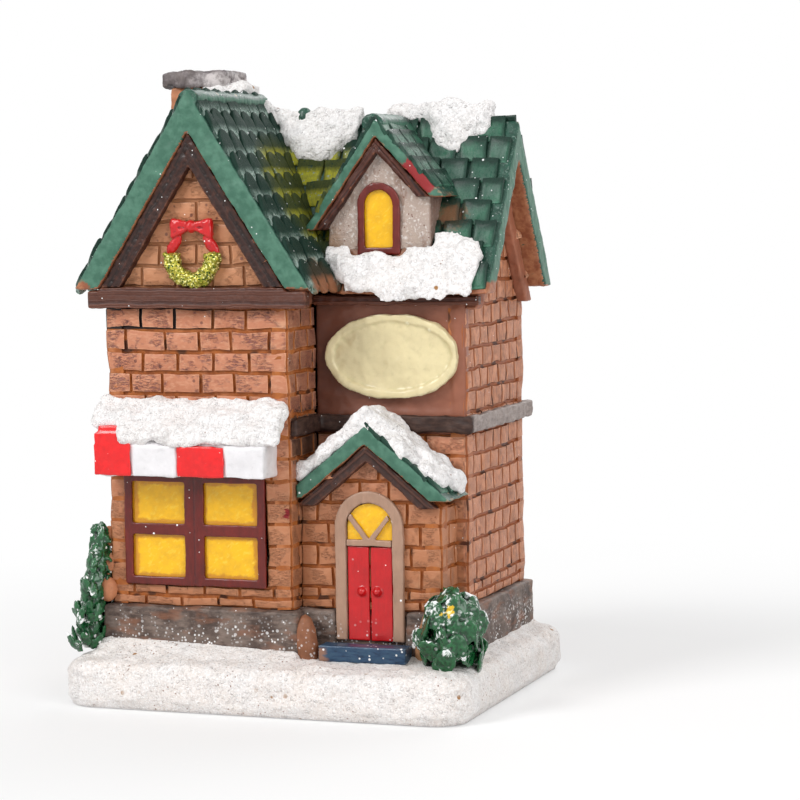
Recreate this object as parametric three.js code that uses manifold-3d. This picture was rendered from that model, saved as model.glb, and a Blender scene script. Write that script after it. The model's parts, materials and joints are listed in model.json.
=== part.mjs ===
// Light-up village house: a small painted resin house on a snow-covered base, lit from inside by a
// battery light module that fits into the base from below.
// Millimetres, +Z up, front towards -Y. The origin is the centre of the base's underside.

import * as THREE from "three";
import { mergeVertices } from "three/addons/utils/BufferGeometryUtils.js";
import Module from "manifold-3d";

const wasm = await Module();
wasm.setup();

// Fits
const seatGap = 0.3; // between sloping or curved surfaces that meet
const slideFit = 0.25; // round a piece that slides or lifts out
const through = 1; // how far a cutting tool runs past what it cuts

// Snow base
const baseWidth = 70.8;
const baseDepth = 59.3;
const baseHeight = 8;
const baseCornerRadius = 6;
const baseFootInset = 0.9;
const baseFootHeight = 1.6;
const baseShoulderDrop = 2;
const baseBankDrop = 0.6;
const baseBankWidth = 1.2;
const baseTopInset = 3.4;

// House plan
const leftYard = 6.33;
const frontYard = 9.4;
const houseWidth = 58.76;
const mainDepth = 31.17;
const wingWidth = 32.48;
const wingProjection = 11.94;
const entranceInset = 1.82;
const entranceWidth = houseWidth - wingWidth - entranceInset;
const entranceProjection = 8;
const wallThickness = 3.2;

// Heights of the plinth and walls
const plinthHeight = 7.95;
const plinthStep = 1.2;
const wallHeight = 49.4;
const stringCourseRise = 28.5;
const stringCourseHeight = 2.8;
const stringCourseStep = 1.3;

// Main roof and wing roof
const roofPitch = THREE.MathUtils.degToRad(57);
const roofThickness = 3.6;
const wingEaveOverhang = 4.7;
const wingEaveRise = 3.1;
const wingGableOverhang = 2.4;
const mainEaveOverhang = 2.8;
const mainEaveRise = 1.8;
const mainVergeOverhang = 4.7;

// Dormer
const dormerCentreFromWing = 11.3;
const dormerWallWidth = 18;
const dormerSetback = 1;
const dormerWallThickness = 2.2;
const dormerGableOverhang = 2;
const dormerLeftSpan = 12.8;
const dormerRightSpan = 11.8;
const dormerLeftPitch = THREE.MathUtils.degToRad(54.3);
const dormerRightPitch = THREE.MathUtils.degToRad(46.6);
const dormerRoofDrop = 2.5;
const dormerRidgeStop = 0.9;

// Porch roof
const porchWallHeight = 18.3;
const porchPitch = THREE.MathUtils.degToRad(39.5);
const porchRoofDrop = 2.9;
const porchEaveOverhang = 2.3;
const porchGableOverhang = 2.4;

// Timber
const gableBoardDrop = 5.2;
const gableBeamHeight = 3.4;
const gableBeamLeftEnd = 2.4;
const gableBeamRightEnd = 3.8;
const timberStandOff = 0.5;
const porchBoardDrop = 2.6;
const dormerBoardDrop = 2.4;
const sideBoardDrop = 5;
const sideBoardThickness = 1.8;
const eaveBoardThickness = 1.5;
const eaveBoardHeight = 1.5;

// Chimney
const chimneyFromLeft = 1.7;
const chimneyWidth = 9.4;
const chimneyDepth = 8.4;
const chimneyForward = 0.1;
const chimneyRise = 4.3;
const capOverhang = 1.35;
const capOverhangFront = 0.7;
const capThickness = 2.7;

// Snow on the roofs
const ridgeSnowThickness = 2.3;
const leftSnowFront = 4.6;
const leftSnowBack = 6;
const leftSnowToDormer = 7.4;
const rightRidgeSnowThickness = 2.9;
const rightSnowFront = 3.6;
const rightSnowBack = 5.6;
const rightSnowToDormer = 3.4;
const rightSnowToVerge = 4.4;
const dormerSnowThickness = 2.8;
const footSnowOverhang = 1.6;
const footSnowBack = 0.4;
const footSnowToVerge = 1.8;
const porchSnowThickness = 2.3;
const porchSnowOverhang = 1.8;

// Awning
const awningRightInset = 1;
const awningLeftOverhang = 0.6;
const awningProjection = 5.5;
const awningTopRise = 32.4;
const awningFall = 4.9;
const awningBottomRise = 22.1;
const awningThickness = 1.7;
const awningPanelThickness = 0.6;
const awningPanelWidth = 8.25;
const awningSnowThickness = 1.7;
const awningSnowLip = 0.6;

// Shop window
const windowFrameHeight = 18.6;
const windowSillRise = 3.5;
const windowLeftInset = 2.8;
const windowRightInset = 4.4;
const windowBar = 1.4;
const windowMullion = 3.4;
const windowTransom = 1.9;
const windowFrameThickness = 0.7;
const paneThickness = 0.9;
const paneOverlap = 0.5;

// Dormer window
const dormerWindowWidth = 7.5;
const dormerWindowHeight = 11.9;
const dormerWindowBar = 1.25;
const dormerWindowFoot = 0.5;

// Doorway
const doorFrameWidth = 11.8;
const doorFrameBar = 1.9;
const doorFrameThickness = 1;
const doorSill = 3;
const doorHeight = 15.4;
const doorSpringRise = 18.6;
const doorThickness = 0.6;
const doorGap = 0.3;
const knobRadius = 0.75;
const knobHeight = 8.1;
const knobOffset = 1.35;
const transomHeight = 1;
const fanBarWidth = 0.8;
const fanBarAngle = THREE.MathUtils.degToRad(52);
const stepWidth = 15;
const stepDepth = 3.4;

// Oval sign
const signWidth = 23.2;
const signHeight = 14;
const signThickness = 1.5;
const signRim = 1.2;
const signRecess = 0.5;

// Wreath and bow
const wreathLeftShift = 1.3;
const wreathRadius = 3.6;
const wreathThickness = 1.15;
const wreathOpening = THREE.MathUtils.degToRad(80);
const bowWidth = 9.4;
const bowHeight = 5.8;
const bowThickness = 1.5;
const bowRise = 4;

// Planting
const treeHeight = 22.3;
const treeReachX = 3;
const treeReachY = 6.2;
const bushHeight = 12.3;
const bushStandOff = 2.2;
const bushReachX = 5.3;
const bushReachY = 5.7;

// Light module
const moduleWidth = 36;
const moduleDepth = 28;
const moduleHeight = 15;
const moduleWall = 1.2;
const moduleFloor = 2;
const moduleFlange = 3;
const moduleRecess = 0.9;
const moduleCornerRadius = 3;
const moduleForward = 0.3;

// Button cells and their bay
const cellRadius = 5.8;
const cellThickness = 5.4;
const cellCount = 3;
const cellGap = 0.05;
const cellPlay = 0.4;
const springRoom = 5.9;
const contactThickness = 0.3;
const contactWidth = 9;
const springWire = 0.25;
const springTurns = 4;
const springPlateRadius = 3.6;
const springTipRadius = 1.8;
const tabWidth = 0.8;
const tabReach = 0.6;

// Battery door and its screw
const doorPlate = 1.2;
const doorLedge = 1;
const tongueWidth = 5;
const tongueReach = 0.4;
const tongueThickness = 0.5;
const tongueRoot = 0.75;
const tongueLift = 0.2;
const bossRadius = 2.2;
const bossHeight = 7;
const screwHeadRadius = 1.6;
const screwHeadHeight = 0.7;
const screwShaftRadius = 0.6;
const screwLength = 3;

// Switch
const switchWidth = 8.6;
const switchDepth = 4.6;
const switchHeight = 3.6;
const switchFromFront = 4.4;
const knobLength = 2;
const knobWidth = 1.8;
const knobTravel = 2;
const knobProud = 0.5;
const shoeLength = 3.6;
const shoeWidth = 3.2;
const shoeThickness = 1;
const pinSize = 0.6;
const pinHeight = 1;
const pinPitch = 2.5;

// Light-emitting diode and wiring
const ledRadius = 2.5;
const ledFlangeRadius = 2.9;
const ledFlangeHeight = 1;
const ledHeight = 8.6;
const ledToWall = 3.3;
const leadPitch = 2.54;
const leadRadius = 0.3;
const wireRadius = 0.45;
const bendRoom = 1;

// Places that follow from the sizes above
const leftX = -baseWidth / 2 + leftYard;
const rightX = leftX + houseWidth;
const wingFrontY = -baseDepth / 2 + frontYard;
const mainFrontY = wingFrontY + wingProjection;
const backY = mainFrontY + mainDepth;
const wingRightX = leftX + wingWidth;
const wingCentreX = leftX + wingWidth / 2;
const entranceRightX = wingRightX + entranceWidth;
const entranceFrontY = mainFrontY - entranceProjection;
const entranceCentreX = wingRightX + entranceWidth / 2;
const plinthTopZ = baseHeight + plinthHeight;
const wallTopZ = plinthTopZ + wallHeight;
const stringBottomZ = plinthTopZ + stringCourseRise;
const stringTopZ = stringBottomZ + stringCourseHeight;

const pitchSlope = Math.tan(roofPitch);
const roofDrop = roofThickness / Math.cos(roofPitch);
const wingHalfSpan = wingWidth / 2 + wingEaveOverhang;
const wingEaveZ = wallTopZ + wingEaveRise;
const wingRidgeZ = wingEaveZ + wingHalfSpan * pitchSlope;
const wingGableY = wingFrontY - wingGableOverhang;
const mainRidgeY = mainFrontY + mainDepth / 2;
const mainHalfSpan = mainDepth / 2 + mainEaveOverhang;
const mainEaveZ = wallTopZ + mainEaveRise;
const mainRidgeZ = mainEaveZ + mainHalfSpan * pitchSlope;
const vergeX = rightX + mainVergeOverhang;
const wingLeftEaveX = wingCentreX - wingHalfSpan;
const wingRightEaveX = wingCentreX + wingHalfSpan;
const mainFrontEaveY = mainRidgeY - mainHalfSpan;
const mainBackEaveY = mainRidgeY + mainHalfSpan;
const skyMargin = 60;
const skyZ = wingRidgeZ + skyMargin;
const farAway = 150;

const porchEaveZ = plinthTopZ + porchWallHeight;
const porchHalfSpan = entranceWidth / 2 + porchEaveOverhang;
const porchSlope = Math.tan(porchPitch);
const porchRidgeZ = porchEaveZ + porchHalfSpan * porchSlope;
const porchGableY = entranceFrontY - porchGableOverhang;

const dormerCentreX = wingRightX + dormerCentreFromWing;
const dormerFrontY = mainFrontY + dormerSetback;
const dormerGableY = dormerFrontY - dormerGableOverhang;
const dormerBackY = mainRidgeY - dormerRidgeStop;

// Materials
function paint(color, roughness = 0.55, metalness = 0) {
  return new THREE.MeshStandardMaterial({ color, roughness, metalness });
}

const materials = {
  snow: paint(0xf0ebe8, 0.9),
  brick: paint(0xc08060, 0.6),
  plinth: paint(0x6b5d55, 0.6),
  band: paint(0x6e5f5a, 0.6),
  roof: paint(0x3f7060, 0.45),
  stucco: paint(0xd9ccc2, 0.85),
  timber: paint(0x4a2e28, 0.5),
  frame: paint(0x6e2a28, 0.4),
  pane: paint(0xf2c81e, 0.2),
  red: paint(0xc8232b, 0.3),
  white: paint(0xf6f4f2, 0.4),
  doorFrame: paint(0xa98e7e, 0.45),
  step: paint(0x1e3a55, 0.4),
  sign: paint(0xe6ddae, 0.4),
  wreath: paint(0x8f9a35, 0.5, 0.5),
  leaves: paint(0x1f5b38, 0.35),
  cap: paint(0x6e6566, 0.6),
  blackPlastic: paint(0x1d1d1f, 0.5),
  steel: paint(0xb9bcc0, 0.3, 1),
  led: paint(0xf6f1da, 0.1),
  wire: paint(0x1a1a1a, 0.5),
};

// Solids
function solidOf(geometry) {
  const bare = geometry.index ? geometry.toNonIndexed() : geometry.clone();
  bare.deleteAttribute("normal");
  bare.deleteAttribute("uv");
  const merged = mergeVertices(bare, 1e-4);
  const vertProperties = new Float32Array(merged.attributes.position.array);
  const triVerts = new Uint32Array(merged.index.array);
  return new wasm.Manifold(new wasm.Mesh({ numProp: 3, vertProperties, triVerts }));
}

function geometryOf(solid) {
  const mesh = solid.getMesh();
  const positions = new Float32Array(mesh.numVert * 3);
  for (let i = 0; i < mesh.numVert; i += 1) {
    positions.set(mesh.vertProperties.subarray(i * mesh.numProp, i * mesh.numProp + 3), i * 3);
  }
  const geometry = new THREE.BufferGeometry();
  geometry.setAttribute("position", new THREE.BufferAttribute(positions, 3));
  geometry.setIndex(new THREE.BufferAttribute(mesh.triVerts, 1));
  geometry.computeVertexNormals();
  return geometry;
}

function join(...solids) {
  return solids.reduce((whole, next) => whole.add(next));
}

function box(x0, x1, y0, y1, z0, z1) {
  const geometry = new THREE.BoxGeometry(x1 - x0, y1 - y0, z1 - z0);
  geometry.translate((x0 + x1) / 2, (y0 + y1) / 2, (z0 + z1) / 2);
  return solidOf(geometry);
}

function shapeOf(outline) {
  if (outline instanceof THREE.Shape) return outline;
  return new THREE.Shape(outline.map(([a, b]) => new THREE.Vector2(a, b)));
}

function prism(outline, length, curveSegments) {
  const options = { depth: length, bevelEnabled: false, curveSegments };
  return new THREE.ExtrudeGeometry(shapeOf(outline), options);
}

// An upright prism over a plan outline of x, y points
function upright(outline, z0, z1, curveSegments = 12) {
  const geometry = prism(outline, z1 - z0, curveSegments);
  geometry.translate(0, 0, z0);
  return solidOf(geometry);
}

// A prism along Y whose outline is given as x, z points
function alongY(outline, y0, y1, curveSegments = 12) {
  const geometry = prism(outline, y1 - y0, curveSegments);
  geometry.rotateX(Math.PI / 2);
  geometry.translate(0, y1, 0);
  return solidOf(geometry);
}

// A prism along X whose outline is given as y, z points
function alongX(outline, x0, x1, curveSegments = 12) {
  const geometry = prism(outline, x1 - x0, curveSegments);
  const turn = new THREE.Matrix4().makeBasis(
    new THREE.Vector3(0, 1, 0),
    new THREE.Vector3(0, 0, 1),
    new THREE.Vector3(1, 0, 0),
  );
  geometry.applyMatrix4(turn);
  geometry.translate(x0, 0, 0);
  return solidOf(geometry);
}

function cylinder(radius, z0, z1, x = 0, y = 0, sides = 24) {
  const geometry = new THREE.CylinderGeometry(radius, radius, z1 - z0, sides);
  geometry.rotateX(Math.PI / 2);
  geometry.translate(x, y, (z0 + z1) / 2);
  return solidOf(geometry);
}

// A tube of round section along a list of points
function tube(points, radius, sides = 8, steps = 24) {
  const section = new THREE.Shape();
  section.absarc(0, 0, radius, 0, 2 * Math.PI);
  const path = new THREE.CatmullRomCurve3(points, false, "centripetal");
  const options = { steps, extrudePath: path, curveSegments: sides, bevelEnabled: false };
  return solidOf(new THREE.ExtrudeGeometry(section, options));
}

// A closed skin through level rings of equal numbers of points, from the lowest ring to the highest
function loft(rings) {
  const count = rings[0].length;
  const points = rings.flat();
  const faces = [];
  for (let ring = 0; ring < rings.length - 1; ring += 1) {
    for (let i = 0; i < count; i += 1) {
      const a = ring * count + i;
      const b = ring * count + ((i + 1) % count);
      faces.push(a, b, b + count, a, b + count, a + count);
    }
  }
  const capOf = (ring) => THREE.ShapeUtils.triangulateShape(ring.map((p) => new THREE.Vector2(p.x, p.y)), []);
  const lastRing = (rings.length - 1) * count;
  capOf(rings[0]).forEach(([a, b, c]) => faces.push(a, c, b));
  capOf(rings.at(-1)).forEach(([a, b, c]) => faces.push(lastRing + a, lastRing + b, lastRing + c));
  const geometry = new THREE.BufferGeometry().setFromPoints(points);
  geometry.setIndex(faces);
  return solidOf(geometry);
}

// The outline moved outwards by a distance, or inwards when it is negative; points run anticlockwise
function offsetOutline(outline, distance) {
  const count = outline.length;
  return outline.map(([x, y], i) => {
    const [px, py] = outline[(i + count - 1) % count];
    const [nx, ny] = outline[(i + 1) % count];
    const before = new THREE.Vector2(x - px, y - py).normalize();
    const after = new THREE.Vector2(nx - x, ny - y).normalize();
    const outBefore = new THREE.Vector2(before.y, -before.x);
    const outAfter = new THREE.Vector2(after.y, -after.x);
    const reach = distance / (1 + outBefore.dot(outAfter));
    return [x + (outBefore.x + outAfter.x) * reach, y + (outBefore.y + outAfter.y) * reach];
  });
}

function roundedRectangle(width, depth, radius) {
  const shape = new THREE.Shape();
  const x = width / 2 - radius;
  const y = depth / 2 - radius;
  shape.absarc(x, y, radius, 0, Math.PI / 2);
  shape.absarc(-x, y, radius, Math.PI / 2, Math.PI);
  shape.absarc(-x, -y, radius, Math.PI, 1.5 * Math.PI);
  shape.absarc(x, -y, radius, 1.5 * Math.PI, 2 * Math.PI);
  return shape;
}

// A round-headed opening: straight sides up to springZ, then a half circle
function archOutline(centreX, halfWidth, bottomZ, springZ) {
  const shape = new THREE.Shape();
  shape.moveTo(centreX - halfWidth, bottomZ);
  shape.lineTo(centreX + halfWidth, bottomZ);
  shape.absarc(centreX, springZ, halfWidth, 0, Math.PI);
  return shape;
}

// Scene graph
const villageHouse = new THREE.Group();
const building = new THREE.Group();
const shopFront = new THREE.Group();
const doorway = new THREE.Group();
const planting = new THREE.Group();
const lightModule = new THREE.Group();
villageHouse.add(building, shopFront, doorway, planting, lightModule);

function addPart(group, name, solid, material) {
  const mesh = new THREE.Mesh(geometryOf(solid), material);
  mesh.name = name;
  group.add(mesh);
}

// Plan outlines
const wallOutline = [
  [leftX, wingFrontY],
  [wingRightX, wingFrontY],
  [wingRightX, mainFrontY],
  [rightX, mainFrontY],
  [rightX, backY],
  [leftX, backY],
];
const footprint = [
  [leftX, wingFrontY],
  [wingRightX, wingFrontY],
  [wingRightX, entranceFrontY],
  [entranceRightX, entranceFrontY],
  [entranceRightX, mainFrontY],
  [rightX, mainFrontY],
  [rightX, backY],
  [leftX, backY],
];

// Spaces below the roof surfaces. Each surface is lowered by drop, or raised when drop is negative.
function underWingRoof(drop, frontY) {
  const eaveZ = wingEaveZ - drop;
  const profile = [
    [wingLeftEaveX, baseHeight],
    [wingRightEaveX, baseHeight],
    [wingRightEaveX, eaveZ],
    [wingCentreX, wingRidgeZ - drop],
    [wingLeftEaveX, eaveZ],
  ];
  return alongY(profile, frontY, mainBackEaveY);
}

function underMainRoof(drop, endX, reach = 0) {
  const eaveZ = mainEaveZ - drop - reach * pitchSlope;
  const profile = [
    [mainFrontEaveY - reach, baseHeight],
    [mainBackEaveY + reach, baseHeight],
    [mainBackEaveY + reach, eaveZ],
    [mainRidgeY, mainRidgeZ - drop],
    [mainFrontEaveY - reach, eaveZ],
  ];
  return alongX(profile, wingLeftEaveX, endX);
}

// The back slope carried on upwards past the main ridge, which ends the wing's ridge
function underBackSlope(drop) {
  const eaveZ = mainEaveZ - drop;
  const skyY = mainBackEaveY - (skyZ - eaveZ) / pitchSlope;
  const profile = [
    [-farAway, baseHeight],
    [mainBackEaveY, baseHeight],
    [mainBackEaveY, eaveZ],
    [skyY, skyZ],
    [-farAway, skyZ],
  ];
  return alongX(profile, -farAway, farAway);
}

// The wing's left slope carried on over the main roof, which makes the hip at the back
function underLeftSlope(drop) {
  const eaveZ = wingEaveZ - drop;
  const skyX = wingLeftEaveX + (skyZ - eaveZ) / pitchSlope;
  const profile = [
    [wingLeftEaveX, baseHeight],
    [farAway, baseHeight],
    [farAway, skyZ],
    [skyX, skyZ],
    [wingLeftEaveX, eaveZ],
  ];
  return alongY(profile, -farAway, farAway);
}

function underWing(drop, frontY = wingGableY) {
  return underWingRoof(drop, frontY).intersect(underBackSlope(drop));
}

function underMain(drop, endX = vergeX) {
  return underMainRoof(drop, endX).intersect(underLeftSlope(drop));
}

function underRoofs(drop) {
  return underWing(drop, wingGableY - through).add(underMain(drop, vergeX + through));
}

// Plan of the wing roof, bounded by the valley in front and the hip at the back
const valleyFootY = mainRidgeY - (mainRidgeZ - wingEaveZ) / pitchSlope;
const valleyTopX = wingCentreX + (wingRidgeZ - mainRidgeZ) / pitchSlope;
const wingRidgeEndY = mainRidgeY - (wingRidgeZ - mainRidgeZ) / pitchSlope;
const hipFootY = mainRidgeY + (mainRidgeZ - wingEaveZ) / pitchSlope;
const wingPlan = [
  [wingLeftEaveX - through, wingGableY - through],
  [wingRightEaveX + through, wingGableY - through],
  [wingRightEaveX + through, valleyFootY - through],
  [valleyTopX, mainRidgeY],
  [wingCentreX, wingRidgeEndY],
  [wingLeftEaveX - through, hipFootY + through],
];

function makeBase() {
  const ring = (inset, z) =>
    roundedRectangle(baseWidth - 2 * inset, baseDepth - 2 * inset, baseCornerRadius - inset)
      .extractPoints(6)
      .shape.slice(0, -1)
      .map((p) => new THREE.Vector3(p.x, p.y, z));
  const body = loft([
    ring(baseFootInset, 0),
    ring(0, baseFootHeight),
    ring(0, baseHeight - baseShoulderDrop),
    ring(baseBankWidth, baseHeight - baseBankDrop),
    ring(baseTopInset, baseHeight),
  ]);
  const hole = roundedRectangle(
    moduleWidth + 2 * slideFit,
    moduleDepth + 2 * slideFit,
    moduleCornerRadius + slideFit,
  );
  const flangeHole = roundedRectangle(
    moduleWidth + 2 * (moduleFlange + slideFit),
    moduleDepth + 2 * (moduleFlange + slideFit),
    moduleCornerRadius + moduleFlange,
  );
  const place = [moduleCentreX, moduleCentreY, 0];
  const shaft = upright(hole, -through, baseHeight + through, 4).translate(place);
  const recess = upright(flangeHole, -through, moduleRecess + moduleFloor, 4).translate(place);
  addPart(building, "snow_base", body.subtract(shaft).subtract(recess), materials.snow);
}

function makePlinth() {
  const outer = upright(offsetOutline(footprint, plinthStep), baseHeight, plinthTopZ);
  const inner = upright(
    offsetOutline(footprint, -wallThickness),
    baseHeight - through,
    plinthTopZ + through,
  );
  const halfDoor = doorFrameWidth / 2 + seatGap;
  const doorNotch = box(
    entranceCentreX - halfDoor,
    entranceCentreX + halfDoor,
    entranceFrontY - plinthStep - through,
    entranceFrontY,
    baseHeight - through,
    plinthTopZ + through,
  );
  addPart(building, "stone_plinth", outer.subtract(inner).subtract(doorNotch), materials.plinth);
}

// The openings that let the light through to the panes
function windowOpenings() {
  const frontWall = [wingFrontY - through, wingFrontY + wallThickness + through];
  const shop = join(
    ...shopPaneHoles(paneOverlap).map(([x0, x1, z0, z1]) => box(x0, x1, ...frontWall, z0, z1)),
  );
  const fanlight = alongY(
    archOutline(entranceCentreX, doorInnerHalf - doorGap, fanlightBottomZ, doorSpringZ),
    entranceFrontY - through,
    entranceFrontY + wallThickness + through,
  );
  const passage = box(
    wingRightX + wallThickness,
    entranceRightX - wallThickness,
    mainFrontY - through,
    mainFrontY + wallThickness + through,
    plinthTopZ + wallThickness,
    porchEaveZ - wallThickness,
  );
  return join(shop, fanlight, passage);
}

function makeWalls() {
  const storey = upright(wallOutline, plinthTopZ, skyZ).subtract(
    upright(offsetOutline(wallOutline, -wallThickness), plinthTopZ - through, skyZ + through),
  );
  const shell = storey.intersect(underRoofs(roofDrop + seatGap));
  const entranceOuter = box(wingRightX, entranceRightX, entranceFrontY, mainFrontY, plinthTopZ, skyZ);
  const entranceInner = box(
    wingRightX,
    entranceRightX - wallThickness,
    entranceFrontY + wallThickness,
    mainFrontY,
    plinthTopZ - through,
    skyZ + through,
  );
  const entrance = entranceOuter.subtract(entranceInner).intersect(underPorchRoof(porchRoofDrop + seatGap));
  const walls = shell.add(entrance).subtract(windowOpenings());
  addPart(building, "house_walls", walls, materials.brick);
}

function makeRoofs() {
  const hollow = underRoofs(roofDrop);
  const aboveWingEave = box(-farAway, farAway, -farAway, farAway, wingEaveZ, skyZ);
  const aboveMainEave = box(-farAway, farAway, -farAway, farAway, mainEaveZ, skyZ);
  const wingShell = underWing(0).subtract(hollow).intersect(aboveWingEave);
  const mainShell = underMain(0).subtract(hollow).intersect(aboveMainEave);
  const wingHalf = upright(offsetOutline(wingPlan, -seatGap / 2), baseHeight, skyZ);
  const wingAndGap = upright(offsetOutline(wingPlan, seatGap / 2), baseHeight, skyZ);
  const dormerWell = box(
    dormerCentreX - dormerWallWidth / 2 + dormerWallThickness,
    dormerCentreX + dormerWallWidth / 2 - dormerWallThickness,
    dormerFrontY + dormerWallThickness,
    mainRidgeY - roofThickness * 2,
    mainEaveZ,
    skyZ,
  );
  addPart(building, "wing_roof", wingShell.intersect(wingHalf), materials.roof);
  addPart(building, "main_roof", mainShell.subtract(wingAndGap).subtract(dormerWell), materials.roof);
}

// The dormer's roof section, from x, z points; its two sides have their own spans and pitches
function dormerProfile(drop, depth) {
  const leftSlope = Math.tan(dormerLeftPitch);
  const rightSlope = Math.tan(dormerRightPitch);
  const leftX0 = dormerCentreX - dormerLeftSpan;
  const rightX0 = dormerCentreX + dormerRightSpan;
  const leftZ = mainRidgeZ - dormerLeftSpan * leftSlope;
  const rightZ = mainRidgeZ - dormerRightSpan * rightSlope;
  return [
    [leftX0 + drop / leftSlope, leftZ],
    [leftX0 + (drop + depth) / leftSlope, leftZ],
    [dormerCentreX, mainRidgeZ - drop - depth],
    [rightX0 - (drop + depth) / rightSlope, rightZ],
    [rightX0 - drop / rightSlope, rightZ],
    [dormerCentreX, mainRidgeZ - drop],
  ];
}

function underDormerRoof(drop) {
  const reach = farAway;
  const profile = [
    [dormerCentreX - reach, mainRidgeZ - drop - reach * Math.tan(dormerLeftPitch)],
    [dormerCentreX + reach, mainRidgeZ - drop - reach * Math.tan(dormerRightPitch)],
    [dormerCentreX, mainRidgeZ - drop],
  ];
  return alongY(profile, dormerGableY - through, mainRidgeY);
}

function makeDormer() {
  const onSlope = underRoofs(-seatGap);
  const halfWidth = dormerWallWidth / 2;
  const outer = box(
    dormerCentreX - halfWidth,
    dormerCentreX + halfWidth,
    dormerFrontY,
    dormerBackY,
    mainEaveZ,
    skyZ,
  );
  const inner = box(
    dormerCentreX - halfWidth + dormerWallThickness,
    dormerCentreX + halfWidth - dormerWallThickness,
    dormerFrontY + dormerWallThickness,
    dormerBackY + through,
    mainEaveZ - through,
    skyZ + through,
  );
  const opening = dormerWindowOutline(paneOverlap - dormerWindowBar);
  const walls = outer
    .intersect(underDormerRoof(dormerRoofDrop + seatGap))
    .subtract(inner)
    .subtract(onSlope)
    .subtract(alongY(opening, dormerFrontY - through, dormerFrontY + dormerWallThickness + through));
  const front = dormerGableY + timberStandOff;
  const roof = alongY(dormerProfile(0, dormerRoofDrop), dormerGableY, dormerBackY).subtract(onSlope);
  const board = alongY(dormerProfile(dormerRoofDrop + seatGap, dormerBoardDrop), front, dormerFrontY);
  addPart(building, "dormer_walls", walls, materials.stucco);
  addPart(building, "dormer_roof", roof, materials.roof);
  addPart(building, "dormer_bargeboard", board, materials.timber);
}

// The dormer window's outline, grown by a margin or shrunk when it is negative
const dormerWindowZ = mainRidgeZ - (mainRidgeY - dormerFrontY) * pitchSlope + dormerWindowFoot;

function dormerWindowOutline(margin) {
  const half = dormerWindowWidth / 2 + margin;
  const springZ = dormerWindowZ + dormerWindowHeight - dormerWindowWidth / 2;
  return archOutline(dormerCentreX, half, dormerWindowZ - margin, springZ);
}

function makeDormerWindow() {
  const frame = alongY(dormerWindowOutline(0), dormerFrontY - windowFrameThickness, dormerFrontY);
  const hole = alongY(
    dormerWindowOutline(-dormerWindowBar),
    dormerFrontY - windowFrameThickness - through,
    dormerFrontY + through,
  );
  const pane = alongY(
    dormerWindowOutline(paneOverlap - dormerWindowBar - slideFit),
    dormerFrontY,
    dormerFrontY + paneThickness,
  );
  addPart(building, "dormer_window_frame", frame.subtract(hole), materials.frame);
  addPart(building, "dormer_window_pane", pane, materials.pane);
}

// The gabled space under the porch roof, whose left side meets the wing
function underPorchRoof(drop, frontY = porchGableY - through) {
  const eaveZ = porchEaveZ - drop;
  const profile = [
    [entranceCentreX - porchHalfSpan, baseHeight],
    [entranceCentreX + porchHalfSpan, baseHeight],
    [entranceCentreX + porchHalfSpan, eaveZ],
    [entranceCentreX, porchRidgeZ - drop],
    [entranceCentreX - porchHalfSpan, eaveZ],
  ];
  return alongY(profile, frontY, mainFrontY + through);
}

function rightOfWing(gap, z0) {
  return box(wingRightX + gap, farAway, -farAway, mainFrontY, z0, skyZ);
}

function makePorch() {
  const clearance = stringCourseClearance();
  const roof = underPorchRoof(0, porchGableY)
    .subtract(underPorchRoof(porchRoofDrop))
    .intersect(rightOfWing(seatGap, porchEaveZ))
    .subtract(clearance);
  const boardFront = porchGableY + timberStandOff;
  const boardDrop = porchRoofDrop + seatGap;
  const board = underPorchRoof(boardDrop, boardFront)
    .subtract(underPorchRoof(boardDrop + porchBoardDrop))
    .intersect(rightOfWing(seatGap, porchEaveZ - porchBoardDrop / 2))
    .intersect(box(-farAway, farAway, boardFront, entranceFrontY, baseHeight, skyZ));
  addPart(building, "porch_roof", roof, materials.roof);
  addPart(building, "porch_bargeboard", board, materials.timber);
}

// The band that runs round the house from the wing's right corner to its left front corner
function stringCourseClearance() {
  const outer = offsetOutline(wallOutline, stringCourseStep + seatGap);
  return upright(outer, stringBottomZ - seatGap, stringTopZ + seatGap);
}

function stringCourse() {
  const step = stringCourseStep;
  const outer = offsetOutline(wallOutline, step);
  const band = upright(outer, stringBottomZ, stringTopZ);
  const inside = upright(wallOutline, stringBottomZ - through, stringTopZ + through);
  const wingFront = box(
    leftX - step - through,
    wingRightX + step + through,
    wingFrontY - step - through,
    wingFrontY,
    stringBottomZ - through,
    stringTopZ + through,
  );
  return band.subtract(inside).subtract(wingFront);
}

function makeTimber() {
  addPart(building, "string_course", stringCourse(), materials.band);

  const boardFront = wingGableY + timberStandOff;
  const boardDrop = roofDrop + seatGap;
  const beamTopZ = wallTopZ + gableBeamHeight;
  const gableZone = box(-farAway, farAway, boardFront, wingFrontY, beamTopZ, skyZ);
  const gableBoard = underWingRoof(boardDrop, boardFront)
    .subtract(underWingRoof(boardDrop + gableBoardDrop, boardFront - through))
    .intersect(gableZone);
  addPart(building, "gable_bargeboard", gableBoard, materials.timber);

  const beam = box(
    leftX - gableBeamLeftEnd,
    wingRightX + gableBeamRightEnd,
    boardFront,
    wingFrontY,
    wallTopZ,
    beamTopZ,
  ).intersect(underWingRoof(-roofDrop, boardFront - through));
  addPart(building, "gable_beam", beam.subtract(wingEaveClearance()), materials.timber);

  const fascia = box(
    wingRightX + seatGap,
    rightX + mainEaveOverhang,
    mainFrontY - eaveBoardThickness,
    mainFrontY,
    mainEaveZ - seatGap - eaveBoardHeight,
    mainEaveZ - seatGap,
  );
  addPart(building, "eave_board", fascia, materials.timber);

  const sideBoard = underMainRoof(boardDrop, rightX + sideBoardThickness)
    .subtract(underMainRoof(boardDrop + sideBoardDrop, farAway))
    .intersect(box(rightX, farAway, -farAway, farAway, mainEaveZ - sideBoardDrop / 2, skyZ));
  addPart(building, "side_gable_board", sideBoard, materials.timber);
}

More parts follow.
